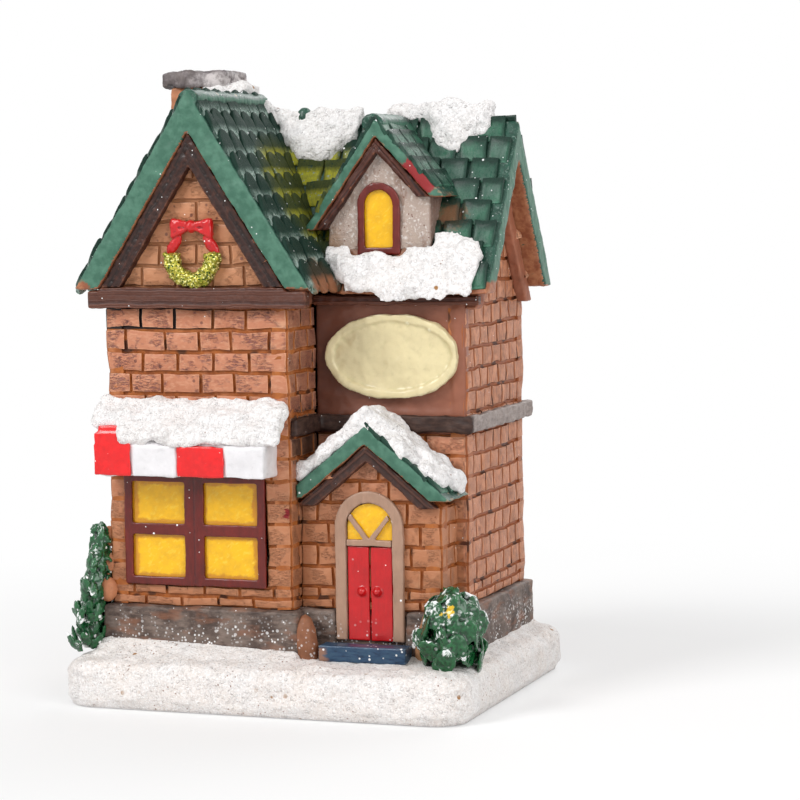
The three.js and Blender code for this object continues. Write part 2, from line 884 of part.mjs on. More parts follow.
// What the wing's roof slab takes up over the ends of the gable beam
function wingEaveClearance() {
  const slab = underWing(-seatGap, wingGableY - through).subtract(underRoofs(roofDrop + seatGap));
  return slab.intersect(box(-farAway, farAway, -farAway, farAway, wingEaveZ - seatGap, skyZ));
}

const stackLeftX = leftX + chimneyFromLeft;
const stackFrontY = mainRidgeY - chimneyDepth / 2 - chimneyForward;
const chimneyTopZ = wingRidgeZ + chimneyRise;
const capBottomZ = chimneyTopZ - capThickness;
const snowMeetingX = wingCentreX - seatGap;

function makeChimney() {
  const stackRightX = stackLeftX + chimneyWidth;
  const stackBackY = stackFrontY + chimneyDepth;
  const stack = box(stackLeftX, stackRightX, stackFrontY, stackBackY, wallTopZ, capBottomZ).subtract(
    underRoofs(-seatGap),
  );
  const cap = box(
    stackLeftX - capOverhang,
    stackRightX + capOverhang,
    stackFrontY - capOverhangFront,
    stackBackY + capOverhangFront,
    capBottomZ,
    chimneyTopZ,
  );
  const snow = box(
    stackRightX + seatGap,
    snowMeetingX - seatGap,
    stackFrontY,
    stackBackY - capOverhang,
    wallTopZ,
    capBottomZ,
  ).subtract(underRoofs(-seatGap));
  addPart(building, "chimney_stack", stack, materials.brick);
  addPart(building, "chimney_cap", cap, materials.cap);
  addPart(building, "chimney_snow", snow, materials.snow);
}

// Snow that lies on the roofs inside a plan outline, as thick as given
function roofSnow(outline, thickness) {
  const layer = underRoofs(-seatGap - thickness).subtract(underRoofs(-seatGap));
  return layer.intersect(upright(outline, baseHeight, skyZ));
}

// A plan outline between two x and two y limits, from points given as shares of that rectangle
function patchOutline(x0, x1, y0, y1, shares) {
  return shares.map(([u, v]) => [THREE.MathUtils.lerp(x0, x1, u), THREE.MathUtils.lerp(y0, y1, v)]);
}

// The space of the dormer's roof and walls with a gap round it
function dormerRoofClearance() {
  const inFront = box(-farAway, farAway, -farAway, dormerBackY + seatGap, mainEaveZ, skyZ);
  return underDormerRoof(-seatGap).intersect(inFront);
}

function dormerWallClearance() {
  const reach = dormerWallWidth / 2 + seatGap;
  const frontY = dormerFrontY - windowFrameThickness - seatGap;
  return box(dormerCentreX - reach, dormerCentreX + reach, frontY, mainRidgeY, mainEaveZ, skyZ);
}

function makeRoofSnow() {
  const leftY = [mainRidgeY - leftSnowFront, mainRidgeY + leftSnowBack];
  const leftEndX = dormerCentreX - leftSnowToDormer;
  const left = patchOutline(snowMeetingX, leftEndX, ...leftY, [
    [0, 0.83],
    [0, 0.32],
    [0.225, 0.38],
    [0.37, 0.15],
    [0.55, 0],
    [0.73, 0.02],
    [0.94, 0.21],
    [1, 0.75],
    [0.57, 0.94],
    [0.18, 1],
  ]);
  const leftSnow = roofSnow(left, ridgeSnowThickness).subtract(dormerRoofClearance());
  addPart(building, "ridge_snow_left", leftSnow, materials.snow);

  const rightY = [mainRidgeY - rightSnowFront, mainRidgeY + rightSnowBack];
  const rightStartX = dormerCentreX - rightSnowToDormer;
  const right = patchOutline(rightStartX, vergeX - rightSnowToVerge, ...rightY, [
    [0, 0.43],
    [0.375, 0.31],
    [0.52, 0.09],
    [0.66, 0],
    [0.775, 0.09],
    [0.93, 0.2],
    [1, 0.5],
    [0.91, 0.87],
    [0.5, 1],
    [0.04, 0.8],
  ]);
  const rightSnow = roofSnow(right, rightRidgeSnowThickness).subtract(dormerRoofClearance());
  addPart(building, "ridge_snow_right", rightSnow, materials.snow);

  const footStartX = dormerCentreX - dormerWallWidth / 2 + seatGap;
  const footY = [mainFrontEaveY - footSnowOverhang, dormerFrontY + footSnowBack];
  const foot = patchOutline(footStartX, vergeX - footSnowToVerge, ...footY, [
    [0, 1],
    [0, 0.58],
    [0.16, 0.07],
    [0.5, 0],
    [0.76, 0],
    [0.97, 0.14],
    [1, 0.48],
    [0.98, 0.86],
    [0.81, 1],
  ]);
  const layer = underMainRoof(-seatGap - dormerSnowThickness, vergeX, footSnowOverhang + through).subtract(
    underMainRoof(-seatGap, vergeX + through, footSnowOverhang + through),
  );
  const footSnow = layer
    .intersect(upright(foot, baseHeight, skyZ))
    .subtract(underWing(-seatGap))
    .subtract(dormerWallClearance());
  addPart(building, "dormer_foot_snow", footSnow, materials.snow);
}

function makePorchSnow() {
  const frontY = porchGableY + seatGap;
  const backY0 = mainFrontY - stringCourseStep - 2 * seatGap;
  const leftX0 = wingRightX + seatGap;
  const outline = patchOutline(leftX0, entranceRightX + porchSnowOverhang, frontY, backY0, [
    [0, 0.6],
    [0.02, 0],
    [0.5, 0],
    [0.59, 0.29],
    [0.83, 0.39],
    [1, 0.73],
    [1, 1],
    [0.11, 1],
  ]);
  const layer = underPorchRoof(-seatGap - porchSnowThickness)
    .subtract(underPorchRoof(-seatGap))
    .intersect(upright(outline, baseHeight, skyZ))
    .intersect(rightOfWing(seatGap, porchEaveZ));
  addPart(building, "porch_snow", layer, materials.snow);
}

// The awning: a sloping cover, a hanging front edge and closed ends
const awningLeftX = leftX - awningLeftOverhang;
const awningRightX = wingRightX - awningRightInset;
const awningFrontY = wingFrontY - awningProjection;
const awningTopZ = plinthTopZ + awningTopRise;
const awningShoulderZ = awningTopZ - awningFall;
const awningBottomZ = plinthTopZ + awningBottomRise;

function awningSection(grow) {
  return [
    [wingFrontY, awningTopZ + grow],
    [awningFrontY - grow, awningShoulderZ + grow],
    [awningFrontY - grow, awningBottomZ],
    [wingFrontY, awningBottomZ],
  ];
}

function makeAwning() {
  const outer = alongX(awningSection(0), awningLeftX, awningRightX);
  const hollow = alongX(
    [
      [wingFrontY + through, awningTopZ - awningThickness + (through * awningFall) / awningProjection],
      [awningFrontY + awningThickness, awningShoulderZ - awningThickness],
      [awningFrontY + awningThickness, awningBottomZ - through],
      [wingFrontY + through, awningBottomZ - through],
    ],
    awningLeftX + awningThickness,
    awningRightX - awningThickness,
  );
  addPart(shopFront, "awning", outer.subtract(hollow), materials.white);

  const panelFrontY = awningFrontY - awningPanelThickness;
  const panelTopZ = awningShoulderZ - seatGap;
  const middleX0 = awningRightX - 2 * awningPanelWidth;
  const middle = box(
    middleX0,
    middleX0 + awningPanelWidth,
    panelFrontY,
    awningFrontY,
    awningBottomZ,
    panelTopZ,
  );
  const leftEndX = awningRightX - 3 * awningPanelWidth;
  const sideX = awningLeftX - awningPanelThickness;
  const left = join(
    box(sideX, leftEndX, panelFrontY, awningFrontY, awningBottomZ, panelTopZ),
    box(sideX, awningLeftX, panelFrontY, wingFrontY, awningBottomZ, panelTopZ),
  );
  addPart(shopFront, "awning_red_panel_middle", middle, materials.red);
  addPart(shopFront, "awning_red_panel_left", left, materials.red);

  const snowX0 = awningLeftX - awningSnowLip;
  const snowX1 = awningRightX + awningSnowLip;
  const lipY = awningFrontY - awningSnowLip;
  const snowSection = [
    [wingFrontY, awningTopZ + seatGap],
    [lipY, awningShoulderZ + seatGap - (awningSnowLip * awningFall) / awningProjection],
    [lipY, awningShoulderZ + awningSnowThickness],
    [wingFrontY, awningTopZ + awningSnowThickness + seatGap],
  ];
  addPart(shopFront, "awning_snow", alongX(snowSection, snowX0, snowX1), materials.snow);
}

// The shop window: two frames side by side, each with an upper and a lower pane
const windowX0 = leftX + windowLeftInset;
const windowX1 = wingRightX - windowRightInset;
const windowZ0 = plinthTopZ + windowSillRise;
const windowZ1 = windowZ0 + windowFrameHeight;
const windowCentreX = (windowX0 + windowX1) / 2;
const windowCentreZ = (windowZ0 + windowZ1) / 2;

// The four panes' x and z limits, each grown by a margin on every side
function shopPaneHoles(margin) {
  const columns = [
    [windowX0 + windowBar - margin, windowCentreX - windowMullion / 2 + margin],
    [windowCentreX + windowMullion / 2 - margin, windowX1 - windowBar + margin],
  ];
  const rows = [
    [windowZ0 + windowBar - margin, windowCentreZ - windowTransom / 2 + margin],
    [windowCentreZ + windowTransom / 2 - margin, windowZ1 - windowBar + margin],
  ];
  return rows.flatMap(([z0, z1]) => columns.map(([x0, x1]) => [x0, x1, z0, z1]));
}

function makeShopWindow() {
  const frontY = wingFrontY - windowFrameThickness;
  const names = ["lower_left", "lower_right", "upper_left", "upper_right"];
  const sights = shopPaneHoles(0).map(([x0, x1, z0, z1]) =>
    box(x0, x1, frontY - through, wingFrontY + through, z0, z1),
  );
  const slab = box(windowX0, windowX1, frontY, wingFrontY, windowZ0, windowZ1);
  addPart(shopFront, "shop_window_frame", slab.subtract(join(...sights)), materials.frame);
  shopPaneHoles(paneOverlap - slideFit).forEach(([x0, x1, z0, z1], i) => {
    const pane = box(x0, x1, wingFrontY, wingFrontY + paneThickness, z0, z1);
    addPart(shopFront, `shop_pane_${names[i]}`, pane, materials.pane);
  });
}

// The doorway: an arched frame round two door leaves, with a fanlight over them
const doorInnerHalf = doorFrameWidth / 2 - doorFrameBar;
const doorBottomZ = baseHeight + doorSill;
const doorTopZ = doorBottomZ + doorHeight;
const doorSpringZ = doorBottomZ + doorSpringRise;
const fanlightBottomZ = doorTopZ + transomHeight + doorGap;

function makeDoorway() {
  const face = entranceFrontY;
  const frameFront = face - doorFrameThickness;
  const outer = archOutline(entranceCentreX, doorFrameWidth / 2, doorBottomZ, doorSpringZ);
  const inner = archOutline(entranceCentreX, doorInnerHalf, doorBottomZ - through, doorSpringZ);
  const frame = alongY(outer, frameFront, face).subtract(
    alongY(inner, frameFront - through, face + through),
  );
  addPart(doorway, "door_frame", frame, materials.doorFrame);

  for (const [name, side] of [
    ["left_door_leaf", -1],
    ["right_door_leaf", 1],
  ]) {
    const near = entranceCentreX + (side * doorGap) / 2;
    const far = entranceCentreX + side * (doorInnerHalf - doorGap / 2);
    const leaf = box(
      Math.min(near, far),
      Math.max(near, far),
      face - doorThickness,
      face,
      doorBottomZ,
      doorTopZ,
    );
    const knob = new THREE.SphereGeometry(knobRadius, 10, 8);
    knob.translate(entranceCentreX + side * knobOffset, face - knobRadius, doorBottomZ + knobHeight);
    addPart(doorway, name, leaf.add(solidOf(knob)), materials.red);
  }

  const paneFront = face - doorThickness / 2;
  const pane = alongY(
    archOutline(entranceCentreX, doorInnerHalf - doorGap / 2, fanlightBottomZ - doorGap / 2, doorSpringZ),
    paneFront,
    face,
  );
  addPart(doorway, "fanlight_pane", pane, materials.pane);
  addPart(doorway, "fanlight_bars", fanlightBars(paneFront), materials.doorFrame);
}

function fanlightBars(backY0) {
  const frontY = entranceFrontY - doorFrameThickness;
  const half = doorInnerHalf - doorGap / 2;
  const footZ = fanlightBottomZ - doorGap / 2;
  const transom = box(
    entranceCentreX - half,
    entranceCentreX + half,
    frontY,
    entranceFrontY,
    footZ - transomHeight,
    footZ,
  );
  const room = alongY(archOutline(entranceCentreX, half, footZ - transomHeight, doorSpringZ), frontY, backY0);
  const bar = (side) => {
    const along = [side * Math.cos(fanBarAngle), Math.sin(fanBarAngle)];
    const across = [(-along[1] * fanBarWidth) / 2, (along[0] * fanBarWidth) / 2];
    const foot = [entranceCentreX, footZ - transomHeight / 2];
    const tip = [foot[0] + along[0] * doorFrameWidth, foot[1] + along[1] * doorFrameWidth];
    const outline = [
      [foot[0] - across[0], foot[1] - across[1]],
      [tip[0] - across[0], tip[1] - across[1]],
      [tip[0] + across[0], tip[1] + across[1]],
      [foot[0] + across[0], foot[1] + across[1]],
    ];
    return alongY(outline, frontY, backY0);
  };
  return join(bar(-1), bar(1)).intersect(room).add(transom);
}

function makeDoorstep() {
  const backStepY = entranceFrontY - Math.max(plinthStep, doorFrameThickness) - seatGap;
  const treadZ = baseHeight + doorSill - seatGap;
  const step = box(
    entranceCentreX - stepWidth / 2,
    entranceCentreX + stepWidth / 2,
    backStepY - stepDepth,
    backStepY,
    baseHeight,
    treadZ,
  );
  addPart(doorway, "doorstep", step, materials.step);
}

function makeSign() {
  const signX = (wingRightX + rightX) / 2 + stringCourseStep / 2;
  const signZ = (stringTopZ + wallTopZ) / 2 + stringCourseStep / 2;
  const oval = (inset) => {
    const shape = new THREE.Shape();
    shape.absellipse(signX, signZ, signWidth / 2 - inset, signHeight / 2 - inset, 0, 2 * Math.PI);
    return shape;
  };
  const frontY = mainFrontY - signThickness;
  const plate = alongY(oval(0), frontY, mainFrontY, 36);
  const dish = alongY(oval(signRim), frontY - through, frontY + signRecess, 36);
  addPart(building, "oval_sign", plate.subtract(dish), materials.sign);
}

// The wreath stands on the gable beam; the bow closes the gap at its top
function makeWreath() {
  const centreZ = wallTopZ + gableBeamHeight + wreathRadius + wreathThickness;
  const centreY = wingFrontY - wreathThickness;
  const centreX = wingCentreX - wreathLeftShift;
  const half = Math.PI - wreathOpening;
  const points = [];
  const count = 15;
  for (let i = 0; i < count; i += 1) {
    const angle = -Math.PI / 2 - half + (2 * half * i) / (count - 1);
    const x = centreX + wreathRadius * Math.cos(angle);
    points.push(new THREE.Vector3(x, centreY, centreZ + wreathRadius * Math.sin(angle)));
  }
  addPart(building, "wreath", tube(points, wreathThickness, 8, 28), materials.wreath);

  const w = bowWidth / 2;
  const h = bowHeight / 2;
  const rightHalf = [
    [0, -0.25 * h],
    [0.34 * w, -0.42 * h],
    [0.62 * w, -h],
    [w, -0.92 * h],
    [0.78 * w, -0.3 * h],
    [0.88 * w, -0.05 * h],
    [0.72 * w, h],
    [0.5 * w, 0.96 * h],
    [0.2 * w, 0.55 * h],
    [0, 0.7 * h],
  ];
  const leftHalf = rightHalf
    .slice(1, -1)
    .reverse()
    .map(([x, z]) => [-x, z]);
  const bowZ = centreZ + bowRise;
  const outline = [...rightHalf, ...leftHalf].map(([x, z]) => [centreX + x, bowZ + z]);
  const bow = alongY(outline, wingFrontY - bowThickness - seatGap, wingFrontY - seatGap);
  addPart(building, "wreath_bow", bow, materials.red);
}

// A lobed, tapering clump of leaves; profile lists height and reach as shares of the whole
function foliage(x, y, reachX, reachY, height, lobes, profile) {
  const sides = 20;
  const rings = profile.map(([heightShare, reachShare], level) => {
    const ring = [];
    for (let i = 0; i < sides; i += 1) {
      const angle = (2 * Math.PI * i) / sides;
      const lobe = 1 - 0.09 * (1 + Math.cos(lobes * angle + level * 1.7));
      const px = x + reachX * reachShare * lobe * Math.cos(angle);
      const py = y + reachY * reachShare * lobe * Math.sin(angle);
      ring.push(new THREE.Vector3(px, py, baseHeight + height * heightShare));
    }
    return ring;
  });
  return loft(rings);
}

// The corner between the walls, the plinth and the plants, kept clear
function houseClearance() {
  const plinth = upright(offsetOutline(footprint, plinthStep + seatGap), 0, plinthTopZ + seatGap);
  return plinth.add(upright(offsetOutline(footprint, seatGap), 0, wallTopZ));
}

function makePlanting() {
  const clearance = houseClearance();
  const treeX = leftX - treeReachX;
  const tree = foliage(treeX, wingFrontY - seatGap, treeReachX, treeReachY, treeHeight, 5, [
    [0, 0.8],
    [0.1, 1],
    [0.28, 0.82],
    [0.34, 0.92],
    [0.55, 0.62],
    [0.62, 0.7],
    [0.82, 0.4],
    [0.94, 0.3],
    [1, 0.1],
  ]);
  const bush = foliage(
    entranceRightX + bushStandOff,
    entranceFrontY - bushStandOff,
    bushReachX,
    bushReachY,
    bushHeight,
    6,
    [
      [0, 0.8],
      [0.12, 1],
      [0.38, 1],
      [0.62, 0.86],
      [0.82, 0.62],
      [0.95, 0.36],
      [1, 0.14],
    ],
  );
  addPart(planting, "evergreen_tree", tree.subtract(clearance), materials.leaves);
  addPart(planting, "holly_bush", bush.subtract(clearance), materials.leaves);
}

// Light module, in its own group. Its own frame has x, y zero at the module's centre, z zero at the ground.
const moduleCentreX = (leftX + rightX) / 2;
const moduleCentreY = (wingFrontY + backY) / 2 - moduleForward;
const moduleFloorZ = moduleRecess;
const moduleInsideZ = moduleFloorZ + moduleFloor;
const moduleTopZ = moduleFloorZ + moduleHeight;
const doorTopPlateZ = moduleFloorZ + doorPlate;
const cellAxisZ = doorTopPlateZ + cellPlay + cellRadius;
const bayHalfWidth = cellRadius + cellPlay;
const bayCentreY = moduleDepth / 2 - moduleWall - moduleWall - bayHalfWidth;
const bayLength = springRoom + cellCount * (cellThickness + cellGap) + contactThickness + cellGap;
const bayLeftX = -moduleWidth / 2 + 2 * moduleWall + doorLedge;
const bayRightX = bayLeftX + bayLength;
const bossX = bayRightX + moduleWall / 2 + bossRadius;
const doorHalfWidth = bayHalfWidth + doorLedge;
const doorLeftX = bayLeftX - doorLedge;
const doorRightX = bossX + bossRadius;
const partitionY = bayCentreY - bayHalfWidth;
const tabZ = cellAxisZ + contactWidth / 2 - tabWidth;
const tabEndY = partitionY - moduleWall - tabReach;
const positiveX = bayRightX - contactThickness;
const switchY = -moduleDepth / 2 + switchFromFront;
const ledX = wingRightX - wallThickness - ledToWall - ledFlangeRadius - moduleCentreX;

function makeModuleCase() {
  const plan = roundedRectangle(moduleWidth, moduleDepth, moduleCornerRadius);
  const flangePlan = roundedRectangle(
    moduleWidth + 2 * moduleFlange,
    moduleDepth + 2 * moduleFlange,
    moduleCornerRadius + moduleFlange,
  );
  const outer = upright(plan, moduleFloorZ, moduleTopZ, 4);
  const flange = upright(flangePlan, moduleFloorZ, moduleInsideZ, 4);
  const cavity = box(
    -moduleWidth / 2 + moduleWall,
    moduleWidth / 2 - moduleWall,
    -moduleDepth / 2 + moduleWall,
    moduleDepth / 2 - moduleWall,
    moduleInsideZ,
    moduleTopZ - moduleWall,
  );
  const inside = [moduleInsideZ - moduleWall / 2, moduleTopZ - moduleWall / 2];
  const baySide = box(bayLeftX - moduleWall, bayRightX + moduleWall, partitionY - moduleWall, partitionY, ...inside);
  const bayBack = moduleDepth / 2 - moduleWall / 2;
  const bayLeft = box(bayLeftX - moduleWall, bayLeftX, partitionY - moduleWall, bayBack, ...inside);
  const bayRight = box(bayRightX, bayRightX + moduleWall, partitionY - moduleWall, bayBack, ...inside);
  const boss = cylinder(bossRadius, moduleInsideZ - moduleWall / 2, doorTopPlateZ + bossHeight, bossX, bayCentreY);
  const mouth = box(
    bayLeftX,
    bayRightX,
    partitionY,
    bayCentreY + bayHalfWidth,
    moduleFloorZ - through,
    moduleInsideZ + through,
  );
  const doorRecess = box(
    doorLeftX - slideFit,
    doorRightX + slideFit,
    bayCentreY - doorHalfWidth - slideFit,
    bayCentreY + doorHalfWidth + slideFit,
    moduleFloorZ - through,
    doorTopPlateZ,
  );
  const pilot = cylinder(
    screwShaftRadius + seatGap,
    moduleFloorZ,
    doorTopPlateZ + bossHeight - moduleWall,
    bossX,
    bayCentreY,
  );
  const slot = box(
    -(knobLength + knobTravel) / 2 - slideFit,
    (knobLength + knobTravel) / 2 + slideFit,
    switchY - knobWidth / 2 - slideFit,
    switchY + knobWidth / 2 + slideFit,
    moduleFloorZ - through,
    moduleInsideZ + through,
  );
  const leadHoles = [-1, 1].map((side) =>
    cylinder(
      leadRadius + slideFit,
      moduleTopZ - moduleWall - through,
      moduleTopZ + through,
      ledX + (side * leadPitch) / 2,
      switchY,
      12,
    ),
  );
  const tabSlots = join(...[positiveX, bayLeftX].map((x0) => contactTab(x0, slideFit)));
  const shell = outer.add(flange).subtract(cavity);
  const body = join(shell, baySide, bayLeft, bayRight, boss)
    .subtract(join(mouth, doorRecess, pilot, slot, ...leadHoles))
    .subtract(tabSlots)
    .subtract(doorTongue(slideFit));
  addPart(lightModule, "light_module_case", body, materials.blackPlastic);
}

// The tab of the contact plate at x0, which passes through the side of the cell bay
function contactTab(x0, grow) {
  return box(
    x0 - grow,
    x0 + contactThickness + grow,
    tabEndY,
    bayCentreY,
    tabZ - tabWidth / 2 - grow,
    tabZ + tabWidth / 2 + grow,
  );
}

// The tongue at the door's free end reaches over the ledge through a window in the bay's end wall
const tongueTipX = bayLeftX - tongueReach;
const tongueRootX = bayLeftX + slideFit;
const tongueZ = moduleInsideZ + tongueLift;

function doorTongue(grow) {
  const halfWidth = tongueWidth / 2 + grow;
  const endX = tongueRootX + tongueRoot + grow;
  const topZ = tongueZ + tongueThickness + grow;
  return box(tongueTipX - grow, endX, bayCentreY - halfWidth, bayCentreY + halfWidth, tongueZ - grow, topZ);
}

function makeBatteryDoor() {
  const plate = box(
    doorLeftX,
    doorRightX,
    bayCentreY - doorHalfWidth,
    bayCentreY + doorHalfWidth,
    moduleFloorZ,
    doorTopPlateZ,
  );
  const headPocket = cylinder(
    screwHeadRadius + slideFit,
    moduleFloorZ - through,
    moduleFloorZ + screwHeadHeight,
    bossX,
    bayCentreY,
  );
  const hole = cylinder(
    screwShaftRadius + slideFit,
    moduleFloorZ - through,
    doorTopPlateZ + through,
    bossX,
    bayCentreY,
  );
  const root = box(
    tongueRootX,
    tongueRootX + tongueRoot,
    bayCentreY - tongueWidth / 2,
    bayCentreY + tongueWidth / 2,
    doorTopPlateZ - doorPlate / 2,
    tongueZ + tongueThickness,
  );
  const door = join(plate, root, doorTongue(0)).subtract(headPocket).subtract(hole);
  addPart(lightModule, "battery_door", door, materials.blackPlastic);

  const head = cylinder(screwHeadRadius, moduleFloorZ, moduleFloorZ + screwHeadHeight, bossX, bayCentreY);
  const shaft = cylinder(
    screwShaftRadius,
    moduleFloorZ + screwHeadHeight / 2,
    moduleFloorZ + screwHeadHeight + screwLength,
    bossX,
    bayCentreY,
  );
  const crossLength = screwHeadRadius;
  const slotCut = (dx, dy) =>
    box(
      bossX - dx / 2,
      bossX + dx / 2,
      bayCentreY - dy / 2,
      bayCentreY + dy / 2,
      moduleFloorZ - through,
      moduleFloorZ + screwHeadHeight / 2,
    );
  const cross = slotCut(crossLength, crossLength / 4).add(slotCut(crossLength / 4, crossLength));
  addPart(lightModule, "battery_door_screw", head.add(shaft).subtract(cross), materials.steel);
}

function makeCells() {
  const firstX = positiveX - cellGap - cellThickness;
  for (let i = 0; i < cellCount; i += 1) {
    const geometry = new THREE.CylinderGeometry(cellRadius, cellRadius, cellThickness, 28);
    geometry.rotateZ(Math.PI / 2);
    const x = firstX - i * (cellThickness + cellGap) + cellThickness / 2;
    geometry.translate(x, bayCentreY, cellAxisZ);
    addPart(lightModule, `button_cell_${i + 1}`, solidOf(geometry), materials.steel);
  }
}

function makeContacts() {
  const half = contactWidth / 2;
  const plateAt = (x0) =>
    box(
      x0,
      x0 + contactThickness,
      bayCentreY - half,
      bayCentreY + half,
      cellAxisZ - half,
      cellAxisZ + half,
    );
  const positive = plateAt(positiveX).add(contactTab(positiveX, 0));
  addPart(lightModule, "positive_contact", positive, materials.steel);

  const negative = plateAt(bayLeftX).add(contactTab(bayLeftX, 0));
  const points = [];
  const stepsPerTurn = 8;
  const length = springRoom - contactThickness - cellGap - springWire;
  for (let i = 0; i <= springTurns * stepsPerTurn; i += 1) {
    const share = i / (springTurns * stepsPerTurn);
    const angle = (2 * Math.PI * i) / stepsPerTurn;
    const radius = THREE.MathUtils.lerp(springPlateRadius, springTipRadius, share);
    const x = bayLeftX + contactThickness + share * length;
    const y = bayCentreY + radius * Math.cos(angle);
    points.push(new THREE.Vector3(x, y, cellAxisZ + radius * Math.sin(angle)));
  }
  const coil = tube(points, springWire, 5, springTurns * stepsPerTurn);
  addPart(lightModule, "battery_spring", negative.add(coil), materials.steel);
}

const switchTopZ = moduleInsideZ + switchHeight;

function makeSwitch() {
  const shoeZ = moduleInsideZ + slideFit / 2;
  const halfStroke = (shoeLength + knobTravel) / 2 + slideFit;
  const groove = box(
    -halfStroke,
    halfStroke,
    switchY - shoeWidth / 2 - slideFit,
    switchY + shoeWidth / 2 + slideFit,
    moduleInsideZ - through,
    shoeZ + shoeThickness + slideFit,
  );
  const body = box(
    -switchWidth / 2,
    switchWidth / 2,
    switchY - switchDepth / 2,
    switchY + switchDepth / 2,
    moduleInsideZ,
    switchTopZ,
  );
  const pins = [-pinPitch, 0, pinPitch].map((x) =>
    box(
      x - pinSize / 2,
      x + pinSize / 2,
      switchY - pinSize / 2,
      switchY + pinSize / 2,
      switchTopZ - pinSize,
      switchTopZ + pinHeight,
    ),
  );
  addPart(lightModule, "switch_body", join(body.subtract(groove), ...pins), materials.steel);

  const knobCentreX = -knobTravel / 2;
  const stem = box(
    knobCentreX - knobLength / 2,
    knobCentreX + knobLength / 2,
    switchY - knobWidth / 2,
    switchY + knobWidth / 2,
    moduleFloorZ - knobProud,
    shoeZ + shoeThickness / 2,
  );
  const shoe = box(
    knobCentreX - shoeLength / 2,
    knobCentreX + shoeLength / 2,
    switchY - shoeWidth / 2,
    switchY + shoeWidth / 2,
    shoeZ,
    shoeZ + shoeThickness,
  );
  addPart(lightModule, "switch_knob", stem.add(shoe), materials.white);
}

function makeLed() {
  const domeSteps = 6;
  const profile = [
    new THREE.Vector2(0, 0),
    new THREE.Vector2(ledFlangeRadius, 0),
    new THREE.Vector2(ledFlangeRadius, ledFlangeHeight),
    new THREE.Vector2(ledRadius, ledFlangeHeight),
  ];
  for (let i = 0; i <= domeSteps; i += 1) {
    const angle = (Math.PI / 2) * (i / domeSteps);
    const radius = i === domeSteps ? 0 : ledRadius * Math.cos(angle);
    profile.push(new THREE.Vector2(radius, ledHeight - ledRadius + ledRadius * Math.sin(angle)));
  }
  const geometry = new THREE.LatheGeometry(profile, 24);
  geometry.rotateX(Math.PI / 2);
  geometry.translate(ledX, switchY, moduleTopZ);
  addPart(lightModule, "led_bulb", solidOf(geometry), materials.led);
}

// The two leads run from the lamp, down through the case's top, to the spring's tab and the middle pin.
// The wire joins the other contact's tab to an outer pin.
function makeWiring() {
  const pinEndZ = switchTopZ + pinHeight + cellGap;
  const holeTop = (side) => new THREE.Vector3(ledX + (side * leadPitch) / 2, switchY, moduleTopZ);
  const holeFoot = (side) => holeTop(side).setZ(moduleTopZ - moduleWall - leadRadius);
  const tabEnd = (x0) => new THREE.Vector3(x0 + contactThickness / 2, tabEndY - cellGap, tabZ);
  const pinEnd = (x) => new THREE.Vector3(x, switchY, pinEndZ);
  const bend = bendRoom;

  const negativeTab = tabEnd(bayLeftX);
  const negativeLead = [
    holeTop(-1),
    holeFoot(-1),
    holeFoot(-1).add(new THREE.Vector3(-bend, bend / 2, -bend)),
    negativeTab.clone().add(new THREE.Vector3(bend / 2, -2 * bend, 0)),
    negativeTab.clone().add(new THREE.Vector3(0, -bend, 0)),
    negativeTab,
  ];
  const switchLead = [
    holeTop(1),
    holeFoot(1),
    holeFoot(1).add(new THREE.Vector3(bend / 2, 0, -bend)),
    pinEnd(0).add(new THREE.Vector3(-bend / 2, 0, 1.6 * bend)),
    pinEnd(0).add(new THREE.Vector3(0, 0, bend)),
    pinEnd(0),
  ];
  const positiveTab = tabEnd(positiveX);
  const wire = [
    positiveTab,
    positiveTab.clone().add(new THREE.Vector3(0, -bend, 0)),
    positiveTab.clone().add(new THREE.Vector3(-bend / 2, -2 * bend, -bend / 2)),
    pinEnd(pinPitch).add(new THREE.Vector3(bend, bend / 4, 1.5 * bend)),
    pinEnd(pinPitch).add(new THREE.Vector3(0, 0, bend)),
    pinEnd(pinPitch),
  ];
  addPart(lightModule, "led_negative_lead", tube(negativeLead, leadRadius, 6, 20), materials.steel);
  addPart(lightModule, "led_positive_lead", tube(switchLead, leadRadius, 6, 20), materials.steel);
  addPart(lightModule, "battery_wire", tube(wire, wireRadius, 6, 24), materials.wire);
}

makeBase();
makePlinth();
makeWalls();
makeRoofs();
makeDormer();
makeDormerWindow();
makePorch();
makeTimber();
makeChimney();
makeRoofSnow();
makePorchSnow();
makeAwning();
makeShopWindow();
makeDoorway();
makeDoorstep();
makeSign();
makeWreath();
makePlanting();
makeModuleCase();
makeBatteryDoor();
makeCells();
makeContacts();
makeSwitch();
makeLed();
makeWiring();
lightModule.position.set(moduleCentreX, moduleCentreY, 0);

export default villageHouse;
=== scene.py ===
"""A painted resin village house on a snowy base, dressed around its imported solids."""

import json
import math
import random

import bmesh
import bpy
from bpy.props import FloatProperty, FloatVectorProperty, PointerProperty
from mathutils import Matrix, Vector


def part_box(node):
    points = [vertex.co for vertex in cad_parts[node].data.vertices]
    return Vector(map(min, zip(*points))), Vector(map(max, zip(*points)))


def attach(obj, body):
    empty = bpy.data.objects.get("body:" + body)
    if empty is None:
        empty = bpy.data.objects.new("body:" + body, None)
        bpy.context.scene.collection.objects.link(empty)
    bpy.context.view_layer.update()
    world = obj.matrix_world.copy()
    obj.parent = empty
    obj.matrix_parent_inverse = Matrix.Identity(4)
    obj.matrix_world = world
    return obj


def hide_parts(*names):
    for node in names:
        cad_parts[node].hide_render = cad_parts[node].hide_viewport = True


bl_info = {
    "name": "Village House",
    "version": (1, 0, 0),
    "blender": (4, 5, 0),
    "location": "View3D > Sidebar > Village House",
    "description": "Models and paints a small light-up village house",
    "category": "Object",
}

